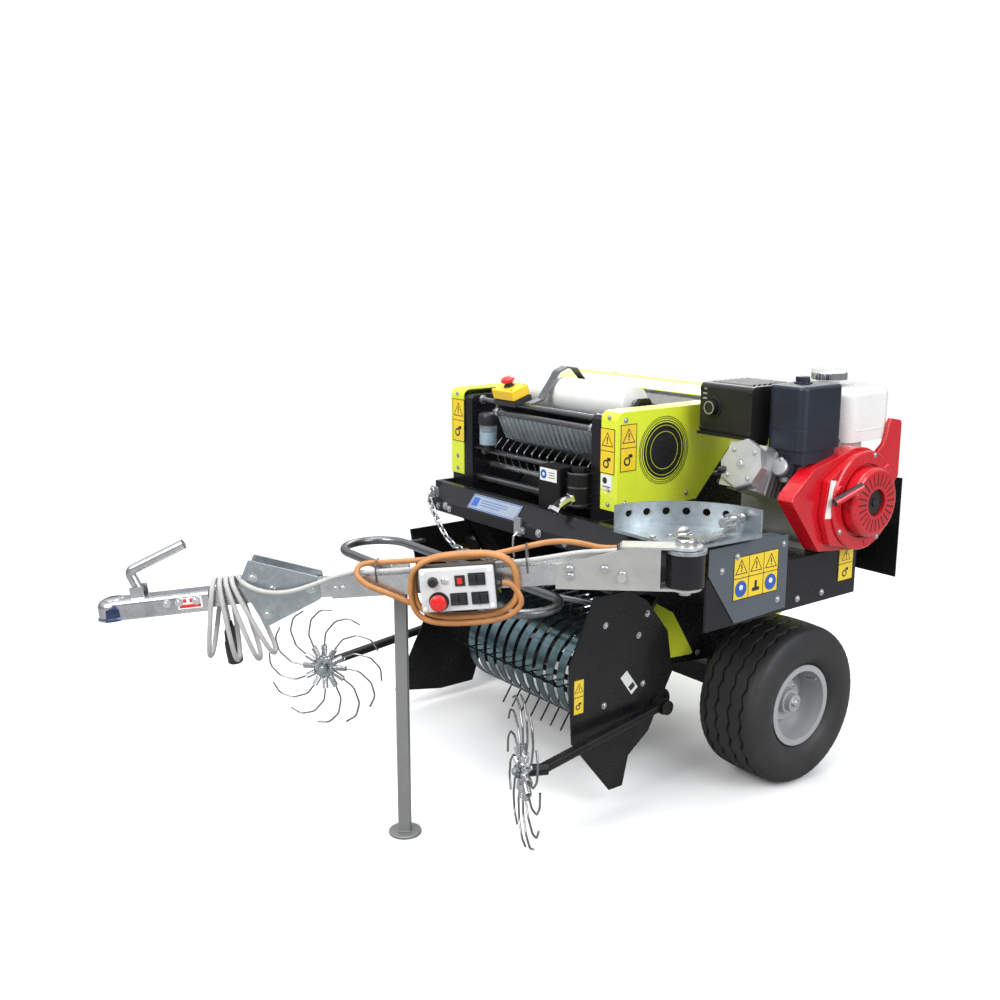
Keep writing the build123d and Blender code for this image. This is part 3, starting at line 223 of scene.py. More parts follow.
LABEL = material("label_yellow", (0.84, 0.60, 0.02), 0.30, vary=0.05, coat=0.4, bump=0.03)
INK = material("label_black", (0.012, 0.012, 0.012), 0.35, vary=0.2, coat=0.3, bump=0.03)
WHITE = material("label_white", (0.82, 0.82, 0.80), 0.35, vary=0.03, bump=0.03)
BLUE = material("label_blue", (0.015, 0.09, 0.42), 0.32, vary=0.08, coat=0.4, bump=0.03)
PLATE = material("blank_plate", (0.46, 0.53, 0.62), 0.32, 0.85, vary=0.08, stretch=(1, 0.1, 1), bump=0.08)
RED_PLASTIC = material("red_plastic", (0.66, 0.012, 0.010), 0.28, vary=0.06, coat=0.4, bump=0.05)
HOSE = material("hose_orange", (0.44, 0.19, 0.060), 0.46, vary=0.14, grain=30, bump=0.15, bump_grain=600)
CABLE = material("cable_grey", (0.43, 0.43, 0.42), 0.48, vary=0.08, grain=30, bump=0.12, bump_grain=600)


def net_material():
    """Wound netting: fine crossing threads over white layers."""
    made = material("net_white", (0.84, 0.84, 0.83), 0.62, vary=0.04, bump=0.1)
    tree = made.node_tree
    coords = tree.nodes["Texture Coordinate"].outputs["Object"]
    waves = {}
    for i, (axis, scale) in enumerate((("X", 90), ("Z", 120))):
        wave = node(tree, "TexWave", {"Vector": coords, "Scale": scale, "Distortion": 1.2},
                    bands_direction=axis)
        waves[i] = wave.outputs["Fac"]
    threads = node(tree, "Math", waves, operation="MAXIMUM").outputs["Value"]
    feed(tree, tree.nodes["Bump"], {"Height": threads, "Strength": 0.5})
    return made


def glass_material():
    """Clear plastic of the oiler's cup."""
    made = material("cup_clear", (0.80, 0.90, 0.95), 0.06, vary=0.02, bump=0.02)
    tree = made.node_tree
    feed(tree, tree.nodes["Principled BSDF"], {"Transmission Weight": 0.85, "IOR": 1.2})
    return made


NET = net_material()
GLASS = glass_material()
OIL = material("cup_oil", (0.30, 0.42, 0.52), 0.15, vary=0.08, coat=0.5, bump=0.02)


# ------------ pieces

def polar(centre, radius, degrees):
    """The point at an angle round a centre."""
    return centre[0] + radius * cos(radians(degrees)), centre[1] + radius * sin(radians(degrees))


def circle(centre, radius, count=20, start=0):
    """Points evenly round a centre."""
    return [polar(centre, radius, start + 360 * i / count) for i in range(count)]


def rect(x0, x1, y0, y1):
    return [(x0, y0), (x1, y0), (x1, y1), (x0, y1)]


def scaled(outline, centre, across, up):
    return [(centre[0] + (x - centre[0]) * across, centre[1] + (y - centre[1]) * up) for x, y in outline]


class Piece:
    """Mesh built from simple solids, in mm in the frame it is placed by, carried by one body."""

    def __init__(self, name, place=ROW, body="chassis"):
        self.name, self.place, self.body, self.mesh = name, place, body, bmesh.new()

    def add(self, points, faces):
        verts = [self.mesh.verts.new(self.place @ Vector(point)) for point in points]
        for face in faces:
            self.mesh.faces.new([verts[i] for i in face])

    def skin(self, points, rows, sides, closed=False):
        """Faces over rows of points, with a cap at each end unless the last row meets the first."""
        faces = []
        for r in range(rows if closed else rows - 1):
            first, second = r * sides, (r + 1) % rows * sides
            faces += [(first + i, first + (i + 1) % sides, second + (i + 1) % sides, second + i)
                      for i in range(sides)]
        if not closed:
            faces += [tuple(range(sides))[::-1], tuple(range((rows - 1) * sides, rows * sides))]
        self.add(points, faces)

    def box(self, x0, x1, y0, y1, z0, z1):
        self.prism(rect(x0, x1, y0, y1), "z", z0, z1)

    def prism(self, outline, axis, low, high):
        """A flat outline pushed along x, y or z, its two numbers in the other two axes."""
        at, count = "xyz".index(axis), len(outline)
        points = [(*point[:at], level, *point[at:]) for level in (low, high) for point in outline]
        sides = [(i, (i + 1) % count, count + (i + 1) % count, count + i) for i in range(count)]
        self.add(points, sides + [tuple(range(count))[::-1], tuple(range(count, 2 * count))])

    def lathe(self, profile, start, way, sides=40, closed=False):
        """A profile of (along, radius) turned about the line from start."""
        way = Vector(way).normalized()
        across = way.orthogonal().normalized()
        other = way.cross(across)
        ring = [across * a + other * b for a, b in circle(MIDDLE, 1, sides)]
        points = [Vector(start) + way * along + out * radius for along, radius in profile for out in ring]
        self.skin(points, len(profile), sides, closed)

    def rod(self, start, end, radius, sides=24, round_off=0.0):
        way = Vector(end) - Vector(start)
        profile = [(0, radius - round_off), (round_off, radius), (way.length - round_off, radius),
                   (way.length, radius - round_off)]
        self.lathe(profile if round_off else [(0, radius), (way.length, radius)], start, way, sides)

    def sweep(self, points, radius, sides=8, closed=False):
        """A round wire along points."""
        points = [Vector(point) for point in points]
        count = len(points)
        normal = None
        rows = []
        for i, point in enumerate(points):
            after = points[(i + 1) % count] if closed or i < count - 1 else point
            before = points[i - 1] if closed or i else point
            way = (after - before).normalized()
            normal = way.orthogonal() if normal is None else normal - way * normal.dot(way)
            normal.normalize()
            other = way.cross(normal)
            rows += [point + (normal * a + other * b) * radius for a, b in circle(MIDDLE, 1, sides)]
        self.skin(rows, count, sides, closed)

    def bolt(self, spot, way, size):
        """A washer, a hexagon head and its rounded top."""
        self.lathe([(0, size * 1.5), (1.2, size * 1.5)], spot, way, 20)
        head = Vector(spot) + Vector(way).normalized() * 1.2
        self.lathe([(0, size), (size * 0.55, size), (size * 0.68, size * 0.8)], head, way, 6)

    def done(self, finish, bevel=0.0, sharp=35, slot=None):
        """The finished object: recalculated normals, crisp edges kept, slight bevels."""
        bmesh.ops.recalc_face_normals(self.mesh, faces=self.mesh.faces)
        for face in self.mesh.faces:
            face.smooth = True
        for edge in self.mesh.edges:
            if len(edge.link_faces) == 2 and edge.calc_face_angle(0) > radians(sharp):
                edge.smooth = False
        data = bpy.data.meshes.new(self.name)
        self.mesh.to_mesh(data)
        self.mesh.free()
        data.materials.append(finish)
        made = shown(self.name, data)
        if bevel:
            rounded(made, bevel)
        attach(made, self.body)
        return made


def rounded(made, width):
    """A slight bevel along an object's edges."""
    bevel = made.modifiers.new("bevel", "BEVEL")
    bevel.width = width / 1000
    bevel.segments = 2
    bevel.limit_method = "ANGLE"
    bevel.angle_limit = radians(40)
    bevel.harden_normals = True


# ------------ hose and cable

def cord(name, points, diameter, finish, place, length, **facts):
    """A smooth cord through its route's control points."""
    data = bpy.data.curves.new(name, "CURVE")
    data.dimensions = "3D"
    data.bevel_depth = diameter / 2
    data.bevel_resolution = 4
    data.resolution_u = 8
    data.use_fill_caps = True
    spline = data.splines.new("NURBS")
    spline.points.add(len(points) - 1)
    for point, spot in zip(spline.points, points):
        point.co = (*spot, 1)
    spline.order_u = 3
    spline.use_endpoint_u = True
    data.materials.append(finish)
    made = shown(name, data)
    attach(made, "drawbar")
    place @ Vector(facts.pop("start"))
    return made


def eased(value, power):
    """A power that keeps the sign, to flatten the sides of a turn."""
    return copysign(abs(value) ** power, value)


HOSE_RUN = ((150, -10, 46), (190, -10, 46), (236, -9, 62), (285, -9, 72), (335, -8, 71), (395, -8, 60),
            (460, -7, 50), (545, -8, 48), (630, -7, 49), (700, -6, 49), (752, -2, 52), (779, 14, 52),
            (782, 42, 34), (756, 46, 8), (716, 42, -12), (676, 37, -34))
HOSE_LEAD = ((404, 52, -16), (418, 54, -4), (431, 54, -4))
HOSE_CENTRE = (521, -7)
HOSE_HALF = (125, 77)        # half of the turns' size, along the tube and up
HOSE_SIDE, HOSE_STACK = 14.5, 15             # from one turn to the one beside it, and to the one over it
HOSE_TURNS = 2.34
HOSE_START = -38
HOSE_STEPS = ((0.80, 0.30), (1.78, 0.25))    # where it moves sideways and outwards, and over how many turns
HOSE_LENGTH = 2.55


def hose_turns():
    """Turns round the control box: two side by side, and the last part of one over them."""
    steps = ceil(HOSE_TURNS * 16)
    spots = []
    for i in range(steps + 1):
        turn = HOSE_TURNS * i / steps
        angle = radians(HOSE_START - 360 * turn)
        side, over = (min(1.0, max(0.0, (turn - start) / length)) for start, length in HOSE_STEPS)
        spots.append((HOSE_CENTRE[0] + (HOSE_HALF[0] + HOSE_STACK * over) * eased(cos(angle), 0.66),
                      35 + HOSE_SIDE * side + 2 * over,
                      HOSE_CENTRE[1] + (HOSE_HALF[1] + HOSE_STACK * over) * eased(sin(angle), 0.66)))
    return spots


hose_route = [TUBE @ Vector(spot) for spot in (*HOSE_RUN, *hose_turns(), *HOSE_LEAD)]
hose = cord("hose", hose_route, 0.014, HOSE, TUBE, HOSE_LENGTH, start=HOSE_RUN[0], far_end="object",
            stiffness="medium", lay="coiled")
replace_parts(hose, "control_hose", "hose_lead", "hose_coil")

CABLE_RUN = ((150, 12, 45), (195, 12, 45), (245, 12, 47), (300, 11, 41), (360, 10, 35), (430, 10, 32),
             (505, 10, 32), (590, 10, 33), (680, 11, 32), (765, 12, 33), (822, 26, 36), (880, 45, 20),
             (950, 49, 3), (1010, 51, 9), (1052, 50, 30))
HANK_TOP = (90, 46)          # along and height where the first turn crosses over the tube
HANK_STEP = 14
HANK_LOWS = ((27, -160), (67, -172), (120, -168), (186, -150))
HANK_HALF_Y = 38
HANK_FINE = 14               # points in a turn
PLUG_LEAD = ((147, -52, -20), (147, -62, -52), (146, -64, -70), (146, -64, -84))
CABLE_LENGTH = 3.06


def hank_turns():
    """Turns hung over the coupling tube, each from the tube's top down to its own low point."""
    spots = []
    for i in range(len(HANK_LOWS) * HANK_FINE + 4):
        turn = i / HANK_FINE
        low_x, low_z = HANK_LOWS[min(int(turn), len(HANK_LOWS) - 1)]
        top_x = HANK_TOP[0] + HANK_STEP * turn
        if turn >= len(HANK_LOWS):
            low_x = top_x
        angle = 2 * pi * turn
        fall = (1 - cos(angle)) / 2
        spots.append((top_x + (low_x - top_x) * fall, -HANK_HALF_Y * eased(sin(angle), 0.6),
                      HANK_TOP[1] + (low_z - HANK_TOP[1]) * fall))
    return spots


cable_route = [TUBE @ Vector(spot) for spot in CABLE_RUN]
cable_route += [NOSE @ Vector(spot) for spot in (*hank_turns(), *PLUG_LEAD)]

PLUG = (146, -64)            # the plug's middle, along the coupling tube and across it
PLUG_LEVEL = -148

plug = Piece("cable_plug_body", NOSE, "drawbar")
plug.lathe([(-48, 14), (-44, 19), (-20, 20), (10, 20), (14, 17.5), (40, 16), (46, 12), (50, 10)],
           (*PLUG, PLUG_LEVEL), Z, 32)
for i in range(5):
    plug.lathe([(51 + 3 * i, 8), (52 + 3 * i, 10.5 - 0.5 * i), (53 + 3 * i, 8)], (*PLUG, PLUG_LEVEL), Z, 24)
for x, y in circle(PLUG, 19.4, 10):
    plug.rod((x, y, PLUG_LEVEL - 18), (x, y, PLUG_LEVEL + 6), 1.6, 6)
plug_piece = plug.done(PLASTIC, 0.6)
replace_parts(plug_piece, "cable_plug")

cable = cord("cable", cable_route, 0.012, CABLE, TUBE, CABLE_LENGTH, start=CABLE_RUN[0], far_end="plug",
             stiffness="medium", lay="hanging", with_pieces=[plug_piece])
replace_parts(cable, "power_cable", "cable_hank", "plug_lead")


# ------------ finishes of the main solids

FINISH = {
    LIME: "side_cover_left side_cover_right hood lower_guards tailgate",
    BLACK: "side_frame_left side_frame_right front_beam pickup_plate_right engine_platform axle"
           " finger_arm_left finger_arm_right",
    BLACK_FLAT: "chamber_plates drive_unit pickup_reel",
    SLATE: "corner_guard",
    ZINC: "net_comb hinge_pins drawbar_tube inner_tubes coupler coupler_handle pivot_pin",
    WIRE: "finger_wheel_left finger_wheel_right",
    BAND: "pickup_bands",
    STEEL: "front_rods front_rollers tail_rollers net_brake crop_hoop",
    GALVANISED: "net_guide sector gusset",
    CHANNEL: "drawbar_bracket",
    RED: "recoil",
    TANK_WHITE: "fuel_tank",
    CASE: "air_cleaner",
    SHIELD: "muffler",
    ALLOY: "engine_block",
    RIM: "rim_left rim_right",
}
ROUNDED = {
    2.5: "side_cover_left side_cover_right engine_platform corner_guard drawbar_bracket front_beam",
    1.2: "hood lower_guards pickup_plate_right gusset sector side_frame_left side_frame_right"
         " drawbar_tube inner_tubes engine_block drive_unit pickup_bands",
}


def dress():
    """Gives the main solids their finishes, and plates and tubes a slight bevel."""
    for finish, names in FINISH.items():
        for name in names.split():
            made = frame["nodes"][name]
            if not made.data.materials:
                made.data.materials.append(finish)
            for place in made.material_slots:
                place.material = finish
    for width, names in ROUNDED.items():
        for name in names.split():
            rounded(frame["nodes"][name], width)


dress()


# ------------ tyres

TYRE_R = 228.5
TREAD_HALF = 88
CROWN_HALF = 72              # beyond it the tread falls off to the shoulders
GROOVES = (-62, -22, 22, 62)
TREAD_STEPS = 216
WAVE, NOTCH = 4.5, 1.2       # how far the grooves sway, and how deep the shoulders are notched
WHEEL_X = 580
VALVE_TURN = 0.6
WALL = ((80, 104), (80, 118), (84, 121), (92, 127), (98, 136), (102, 146), (104.2, 154), (105.4, 160),
        (106, 166), (105.8, 176), (104.6, 184), (104.2, 186), (103.4, 190), (102.2, 194), (99.5, 203),
        (97, 208.5), (94.5, 213), (91, 218))     # across and radius of the side wall, from bead to shoulder


def tyre_section():
    """Columns of (across, radius, share of the wave) from one bead to the other."""
    section = [(-x, radius, 0) for x, radius in WALL]
    tread = []
    for groove in GROOVES:
        tread += [(groove - 15, 0, 0.2), (groove - 5, 0, 1), (groove - 4, 3, 1), (groove - 2.6, 8, 1),
                  (groove + 2.6, 8, 1), (groove + 4, 3, 1), (groove + 5, 0, 1), (groove + 15, 0, 0.2)]
    tread = [(-TREAD_HALF, 0, 0), (-TREAD_HALF + 6, 0, 0), *tread, (TREAD_HALF - 6, 0, 0), (TREAD_HALF, 0, 0)]
    for x, depth, share in tread:
        crown = TYRE_R - 3 * (x / CROWN_HALF) ** 2 - max(0.0, abs(x) - CROWN_HALF) ** 2 * 0.016
        section.append((x, crown - depth, share))
    return section + [(x, radius, 0) for x, radius in reversed(WALL)]


def tyre(word):
    """Tread, shoulders and side walls of one tyre."""
    section = tyre_section()
    piece = Piece("tyre_tread_" + word, Matrix.Translation(middle("tyre_" + word)) @ MM, "wheel_" + word)
    points = []
    for i in range(TREAD_STEPS):
        angle = 2 * pi * i / TREAD_STEPS
        wave = WAVE * (abs((i % 8) / 4 - 1) * 2 - 1)
        for x, radius, share in section:
            if i % 4 == 0 and 84 < abs(x) < 96 and radius > 206:
                radius -= NOTCH
            points.append((x + wave * share, radius * sin(angle), radius * cos(angle)))
    piece.skin(points, TREAD_STEPS, len(section), closed=True)
    made = piece.done(RUBBER, sharp=28)
    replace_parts(made, "tyre_" + word)


def rim_details(word, side):
    """Wheel nuts, the hub's bolt and the valve."""
    way = (side, 0, 0)
    nuts = Piece("rim_nuts_" + word, body="wheel_" + word)
    for y, z in circle((0, TYRE_R), 48, 4, 45):
        nuts.bolt((side * (WHEEL_X + 26), y, z), way, 7)
    nuts.bolt((side * (WHEEL_X + 65), 0, TYRE_R), way, 12)
    nuts.rod(*((side * (WHEEL_X + out), radius * sin(VALVE_TURN), TYRE_R + radius * cos(VALVE_TURN))
               for out, radius in ((60, 78), (96, 84))), 3.4, 12)
    nuts.done(ZINC)


tyre("left")
tyre("right")
rim_details("left", 1)
rim_details("right", -1)


# ------------ jack

LEG_HALF, LEG_TOP, FOOT_TOP = 15, 712, 8


def jack_leg():
    """Square tube, ending inside its sleeve beside the drawbar, with its weld and foot plate."""
    foot = middle("jack_leg")
    place = Matrix.Translation((foot.x, foot.y, 0)) @ Matrix.Rotation(TUBE_HEADING, 4, "Z") @ MM
    leg = Piece("jack_leg_tube", place, "jack")
    for half, top in ((LEG_HALF, LEG_TOP), (LEG_HALF + 2, FOOT_TOP + 3)):
        leg.box(-half, half, -half, half, FOOT_TOP, top)
    leg.lathe([(0, 40.5), (1.5, 42), (6.5, 42), (FOOT_TOP, 40.5)], ORIGIN, Z, 64)
    made = leg.done(GREY, 1.5)
    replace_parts(made, "jack_leg")


jack_leg()


# ------------ near pickup plate

PICKUP_OUTLINE = [(-600, 600), (-680, 430), (-668, 218), (-534, 53), (-487, 53), (-467, 135), (-394, 188),
                  (-308, 340), (-330, 460), (-410, 560), (-480, 600)]
PICKUP_X = (460, 466)        # inner and outer face
COVER_X = 382                # outer face of the side covers
REEL_AXLE = (-340, 262)      # along and height
ARM_AXLE = (-370, 262)


def pickup_plate():
    """The near plate with its rear corner cut back, its strut, the reel's bearing cup and the arm's pin."""
    inner, outer = PICKUP_X
    plate = Piece("pickup_plate_near")
    plate.prism(PICKUP_OUTLINE, "x", inner, outer)
    plate.prism([(COVER_X, -345), (inner - 22, -425), (inner, -425), (inner, -392), (COVER_X + 20, -312),
                 (COVER_X, -312)], "z", 516, 536)
    plate.lathe([(-26, 16.5), (-26, 30), (-24, 32), (0, 32), (0, 16.5)], (inner, *REEL_AXLE), X, 48,
                closed=True)
    plate.rod((outer, *ARM_AXLE), (outer + 44, *ARM_AXLE), 12, 32)
    plate.rod((outer + 44, *ARM_AXLE), (outer + 50, *ARM_AXLE), 20, 40, 1)
    made = plate.done(BLACK, 1.2)
    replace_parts(made, "pickup_plate_left")


pickup_plate()


# ------------ finger wheels

FINGERS = 12
COILS, COIL_FINE = 9, 10     # turns of a spring, and points in a turn
COIL_R, COIL_START, COIL_LENGTH = 8.2, 33, 38


def finger_details(word):
    """Coil springs at the roots of the fingers, the clamp plate with its screws, and the stub's bolt."""
    axle = joint("finger_wheel_" + word + "_spin")
    turn = atan2(axle["axis"][1], axle["axis"][0])
    place = Matrix.Translation(axle["pos_m"]) @ Matrix.Rotation(turn, 4, "Z") @ MM
    springs = Piece("finger_springs_" + word, place, "finger_wheel_" + word)
    for i in range(FINGERS):
        turn_to = Matrix.Rotation(2 * pi * i / FINGERS, 3, "X")
        helix = [(*polar(MIDDLE, COIL_R, 360 * k / COIL_FINE),
                  COIL_START + COIL_LENGTH * k / (COILS * COIL_FINE)) for k in range(COILS * COIL_FINE + 1)]
        springs.sweep([turn_to @ Vector(spot) for spot in helix], 1.9, 6)
    springs.done(CHROME)
    clamp = Piece("finger_clamp_" + word, place, "finger_wheel_" + word)
    clamp.lathe([(-7.5, 30), (-6, 32), (6, 32), (7.5, 30)], ORIGIN, X, 36)
    for z, y in circle(MIDDLE, 23, 6, 30):
        clamp.bolt((-7.5, y, z), (-1, 0, 0), 4.5)
    clamp.bolt((-20, 0, 0), (-1, 0, 0), 9)
    clamp.done(GALVANISED, slot="zinc")


finger_details("left")
finger_details("right")


# ------------ plates and labels

RULE = 2                     # width of the lines that divide a plate


def triangle(size, border=0.0):
    """A warning triangle, drawn smaller by a border's width."""
    half = size / 2 - border
    low = -size * 0.4 + border * 0.6
    return [(-half, low), (half, low), (0, size * 0.46 - border * 1.3)]


def shifted(outline, x, y):
    return [(a + x, b + y) for a, b in outline]


class Labels:
    """Plain pictogram labels with no words, gathered by colour."""

    def __init__(self):
        self.pieces = {finish: Piece("labels_chassis_" + name) for name, finish in
                       (("yellow", LABEL), ("black", INK), ("white", WHITE), ("blue", BLUE))}

    def draw(self, finish, place, outline, low, high):
        self.pieces[finish].place = place
        self.pieces[finish].prism(outline, "z", low, high)

    def sign(self, place, x, y, size):
        """A warning triangle with a plain bar and dot."""
        bar = size * 0.045
        self.draw(INK, place, shifted(triangle(size), x, y), 0.5, 0.9)
        self.draw(LABEL, place, shifted(triangle(size, size * 0.09), x, y), 0.8, 1.1)
        self.draw(INK, place, rect(x - bar, x + bar, y - size * 0.1, y + size * 0.16), 1.0, 1.3)
        self.draw(INK, place, circle((x, y - size * 0.2), bar * 1.2, 12), 1.0, 1.3)

    def symbol(self, place, x, y, unit, wheel):
        """A generic drawing under the triangle: blocks and a wheel that mean nothing in particular."""
        if wheel:
            self.draw(INK, place, circle((x - unit, y - unit), unit * 2.6), 0.5, 0.9)
            self.draw(LABEL, place, circle((x - unit, y - unit), unit * 1.5), 0.8, 1.1)
            self.draw(INK, place, rect(x, x + 3 * unit, y + unit, y + 3 * unit), 0.5, 0.9)
        else:
            self.draw(INK, place, rect(x - 3 * unit, x + 3 * unit, y - 3 * unit, y - unit), 0.5, 0.9)
            self.draw(INK, place, rect(x - unit, x + unit, y - unit, y + 3 * unit), 0.5, 0.9)

    def plate(self, place, width, height, columns=1):
        """A yellow plate with a row of triangles over a row of drawings, ruled in black."""
        w, h, line = width / 2, height / 2, RULE / 2
        self.draw(LABEL, place, rect(-w, w, -h, h), 0, 0.6)
        for y in (-h + line, h - line, 0):
            self.draw(INK, place, rect(-w, w, y - line, y + line), 0.3, 0.8)
        for i in range(columns + 1):
            x = -w + line + (width - RULE) * i / columns
            self.draw(INK, place, rect(x - line, x + line, -h, h), 0.3, 0.8)
        step = width / columns
        size = min(step, h) * 0.8
        for i in range(columns):
            x = -w + step * (i + 0.5)
            self.sign(place, x, h / 2, size)
            self.symbol(place, x, -h / 2, size / 10, i % 2 == 0)

    def done(self):
        for finish, piece in self.pieces.items():
            piece.done(finish, sharp=20)


PILLAR_Y = -451              # front face of the pillars
TRAY_X = 727                 # side of the engine's tray
EMBLEM = (-281, 941)


def corner_face():
    """How far out the corner guard's outer face stands."""
    return (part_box("corner_guard")[1][0] - WHEELS.x) * 1000


def chassis_labels():
    """Signs on pillars, cover, corner guard, engine tray, pickup plate and drive, and the emblem's disc."""
    labels = Labels()
    front, side, near = PILLAR_Y - 0.6, COVER_X + 0.4, PICKUP_X[1] + 0.4
    for spot, right, width, height in (((-343, front, 957), X, 62, 132), ((343, front, 950), X, 56, 122),
                                       ((side, -413, 960), Y, 58, 126), ((TRAY_X, 78, 640), Y, 64, 96),
                                       ((near, -648, 345), Y, 36, 96)):
        labels.plate(facing(spot, right, Z), width, height)
    small = facing((341, front, 866), X, Z)
    labels.draw(WHITE, small, rect(-21, 21, -20, 20), 0, 0.6)
    labels.draw(INK, small, circle((-6, 4), 9), 0.4, 0.8)
    labels.draw(INK, small, rect(-16, 16, -14, -11), 0.4, 0.8)
    labels.draw(INK, facing((side, *EMBLEM), Y, Z), circle(MIDDLE, 76, 72), 0, 0.6)
    guard = facing((corner_face() + 0.3, -293, 671), Y, Z)
    labels.plate(guard, 168, 112, 3)
    for x in (-56, 56):
        labels.draw(BLUE, guard, circle((x, -28), 21, 28), 1.2, 1.6)
        labels.draw(WHITE, guard, circle((x, -24), 7, 16), 1.5, 1.9)
    tilted = facing((near, -471, 344), (0, 0.8, 0.6), (0, -0.6, 0.8))
    labels.draw(WHITE, tilted, rect(-14, 14, -34, 34), 0, 0.6)
    labels.draw(INK, tilted, rect(-10, 10, -24, -8), 0.4, 0.8)
    drive = facing((158, -500.8, 864), X, Z)
    labels.draw(WHITE, drive, rect(-36, 36, -18, 18), 0.2, 0.8)
    labels.draw(BLUE, drive, circle((-20, 0), 13, 28), 0.6, 1.0)
    labels.draw(WHITE, drive, circle((-20, 0), 5, 16), 0.9, 1.3)
    for y in (-7, 0, 7):
        labels.draw(INK, drive, rect(2, 28, y - 1, y + 1), 0.6, 1.0)
    labels.done()


def emblem_rings(name, finish, x, depth, rings):
    """Thin rings round the bare emblem disc, from rows of (radius, width)."""
    piece = Piece(name)
    for radius, width in rings:
        piece.lathe(rect(0, depth, radius - width, radius), (x, *EMBLEM), X, 96, closed=True)
    piece.done(finish)


chassis_labels()
emblem_rings("emblem_rings", INK, COVER_X + 0.1, 0.6, ((82, 2.4), (88, 1.8), (93, 1.6)))
emblem_rings("emblem_inner_rings", LIME, COVER_X + 1, 0.4, ((69, 1.4), (52, 1.2)))


# ------------ bolts

BEAM_Y = -560                # front face of the beam


def chassis_bolts():
    """Bolt heads on covers, pillars, pickup plates, beam and corner guard."""
    piece = Piece("chassis_bolts")

    def row(size, way, spots):
        for spot in spots:
            piece.bolt(spot, way, size)

    for side in (-1, 1):
        way, face = (side, 0, 0), side * (COVER_X + 0.2)
        row(5, way, [(face, y, z) for y, z in
                     ((-425, 812), (-425, 1034), (-190, 812), (60, 1034), (100, 840), (-60, 830))])
        row(4.5, AHEAD, [(side * 348, PILLAR_Y - 0.2, z) for z in (806, 845, 1040)])
        row(6.5, way, [(face, y, z) for y, z in ((-330, 520), (-300, 420), (-120, 330), (40, 330), (100, 520),
                                                 (100, 680), (-180, 640))])
    for side, spots in ((1, ((-560, 520), (-410, 524), (-440, 470), (-420, 330), (-560, 300))),
                        (-1, ((-500, 540), (-331, 533), (-420, 480), (-400, 330)))):
        row(6, (side, 0, 0), [(side * (PICKUP_X[1] + 0.2), y, z) for y, z in spots])
    row(7, AHEAD, [(x, BEAM_Y - 0.2, 706) for x in (-300, -240, 120, 300, 560, 640)])
    row(6, X, [(corner_face(), y, z) for y, z in ((-365, 728), (-205, 590), (-190, 735), (-420, 700))])
    row(6, X, [(TRAY_X - 0.8, y, 575) for y in (-120, -20)])
    piece.done(ZINC)


chassis_bolts()


# ------------ engine

CRANK = (50, 828)            # along and height of the crankshaft
CLEANER = (686, -77)         # middle of the air cleaner, across and along
KNOB = (676, -80)
TANK_CAP = (609, 116)
OUTLET = (470, -190, 1060)   # middle of the muffler's mouth
VANES = 24
CYLINDER_TILT = radians(20)


def engine_seams():
    """The air cleaner's lid, joints and knob."""
    seam = Piece("engine_seams")
    rim = [(647, -159.5), (724, -159.5), (739, -153), (746.5, -137), (746.5, -17), (739, -1), (724, 5.5),
           (647, 5.5), (632, -1), (624.5, -17), (624.5, -137), (632, -153)]
    seam.prism(rim, "z", 1020, 1023)
    seam.prism(scaled(rim, CLEANER, 0.9, 0.88), "z", 935, 971)
    seam.prism(scaled(rim, CLEANER, 0.7, 0.7), "z", 905, 936)
    seam.lathe([(-2, 24), (2, 24), (3, 14), (14, 14), (16, 11)], (*KNOB, 1136), Z, 32)
    for x, y in circle(KNOB, 13, 5):
        seam.rod((x, y, 1139), (x, y, 1152), 6, 14, 1.5)
    seam.done(CASE, 0.8)


def muffler_details():
    """The shield's mouth, ribs, screws and slots."""
    shield = Piece("muffler_details")
    shield.lathe([(0, 30), (3, 30), (3, 22), (0, 22)], OUTLET, AHEAD, closed=True)
    for i in range(7):
        y = -168 + 21 * i
        shield.prism([(y, 1124), (y + 12, 1124), (y + 10, 1128), (y + 6, 1128)], "x", 446, 584)
    for x in (430, 598):
        for z in (1000, 1108):
            shield.bolt((x, OUTLET[1], z), AHEAD, 5)
    shield.box(418, 610, -194, -188, 984, 992)
    shield.done(SHIELD, 0.6)
    slots = Piece("muffler_slots")
    for i in range(3):
        slots.box(434, 448, -190.6, -189.4, 1080 + 13 * i, 1084 + 13 * i)
    slots.lathe(rect(16.2, 17, 15, 17.5), OUTLET, AHEAD, 32, closed=True)
    slots.done(ALLOY)


def tank_details():
    """The tank's ribbed cap and the seam round its middle."""
    cap = Piece("tank_cap")
    cap.lathe([(0, 44), (2, 47), (20, 46.8), (22, 45), (29.4, 40), (30, 30), (29.2, 28), (29.2, 6)],
              (*TANK_CAP, 1126), Z, 56)
    for x, y in circle(TANK_CAP, 46.2, 28):
        cap.rod((x, y, 1129), (x, y, 1146), 1.8, 6)
    cap.done(CHROME)
    tank = Piece("tank_seam")
    ring = [(499, 96), (508, 72), (534, 61), (686, 61), (712, 72), (721, 96), (721, 218), (712, 242),
            (686, 253), (534, 253), (508, 242), (499, 218)]
    tank.prism(ring, "z", 996, 1001)
    tank.done(TANK_WHITE, 1.5)


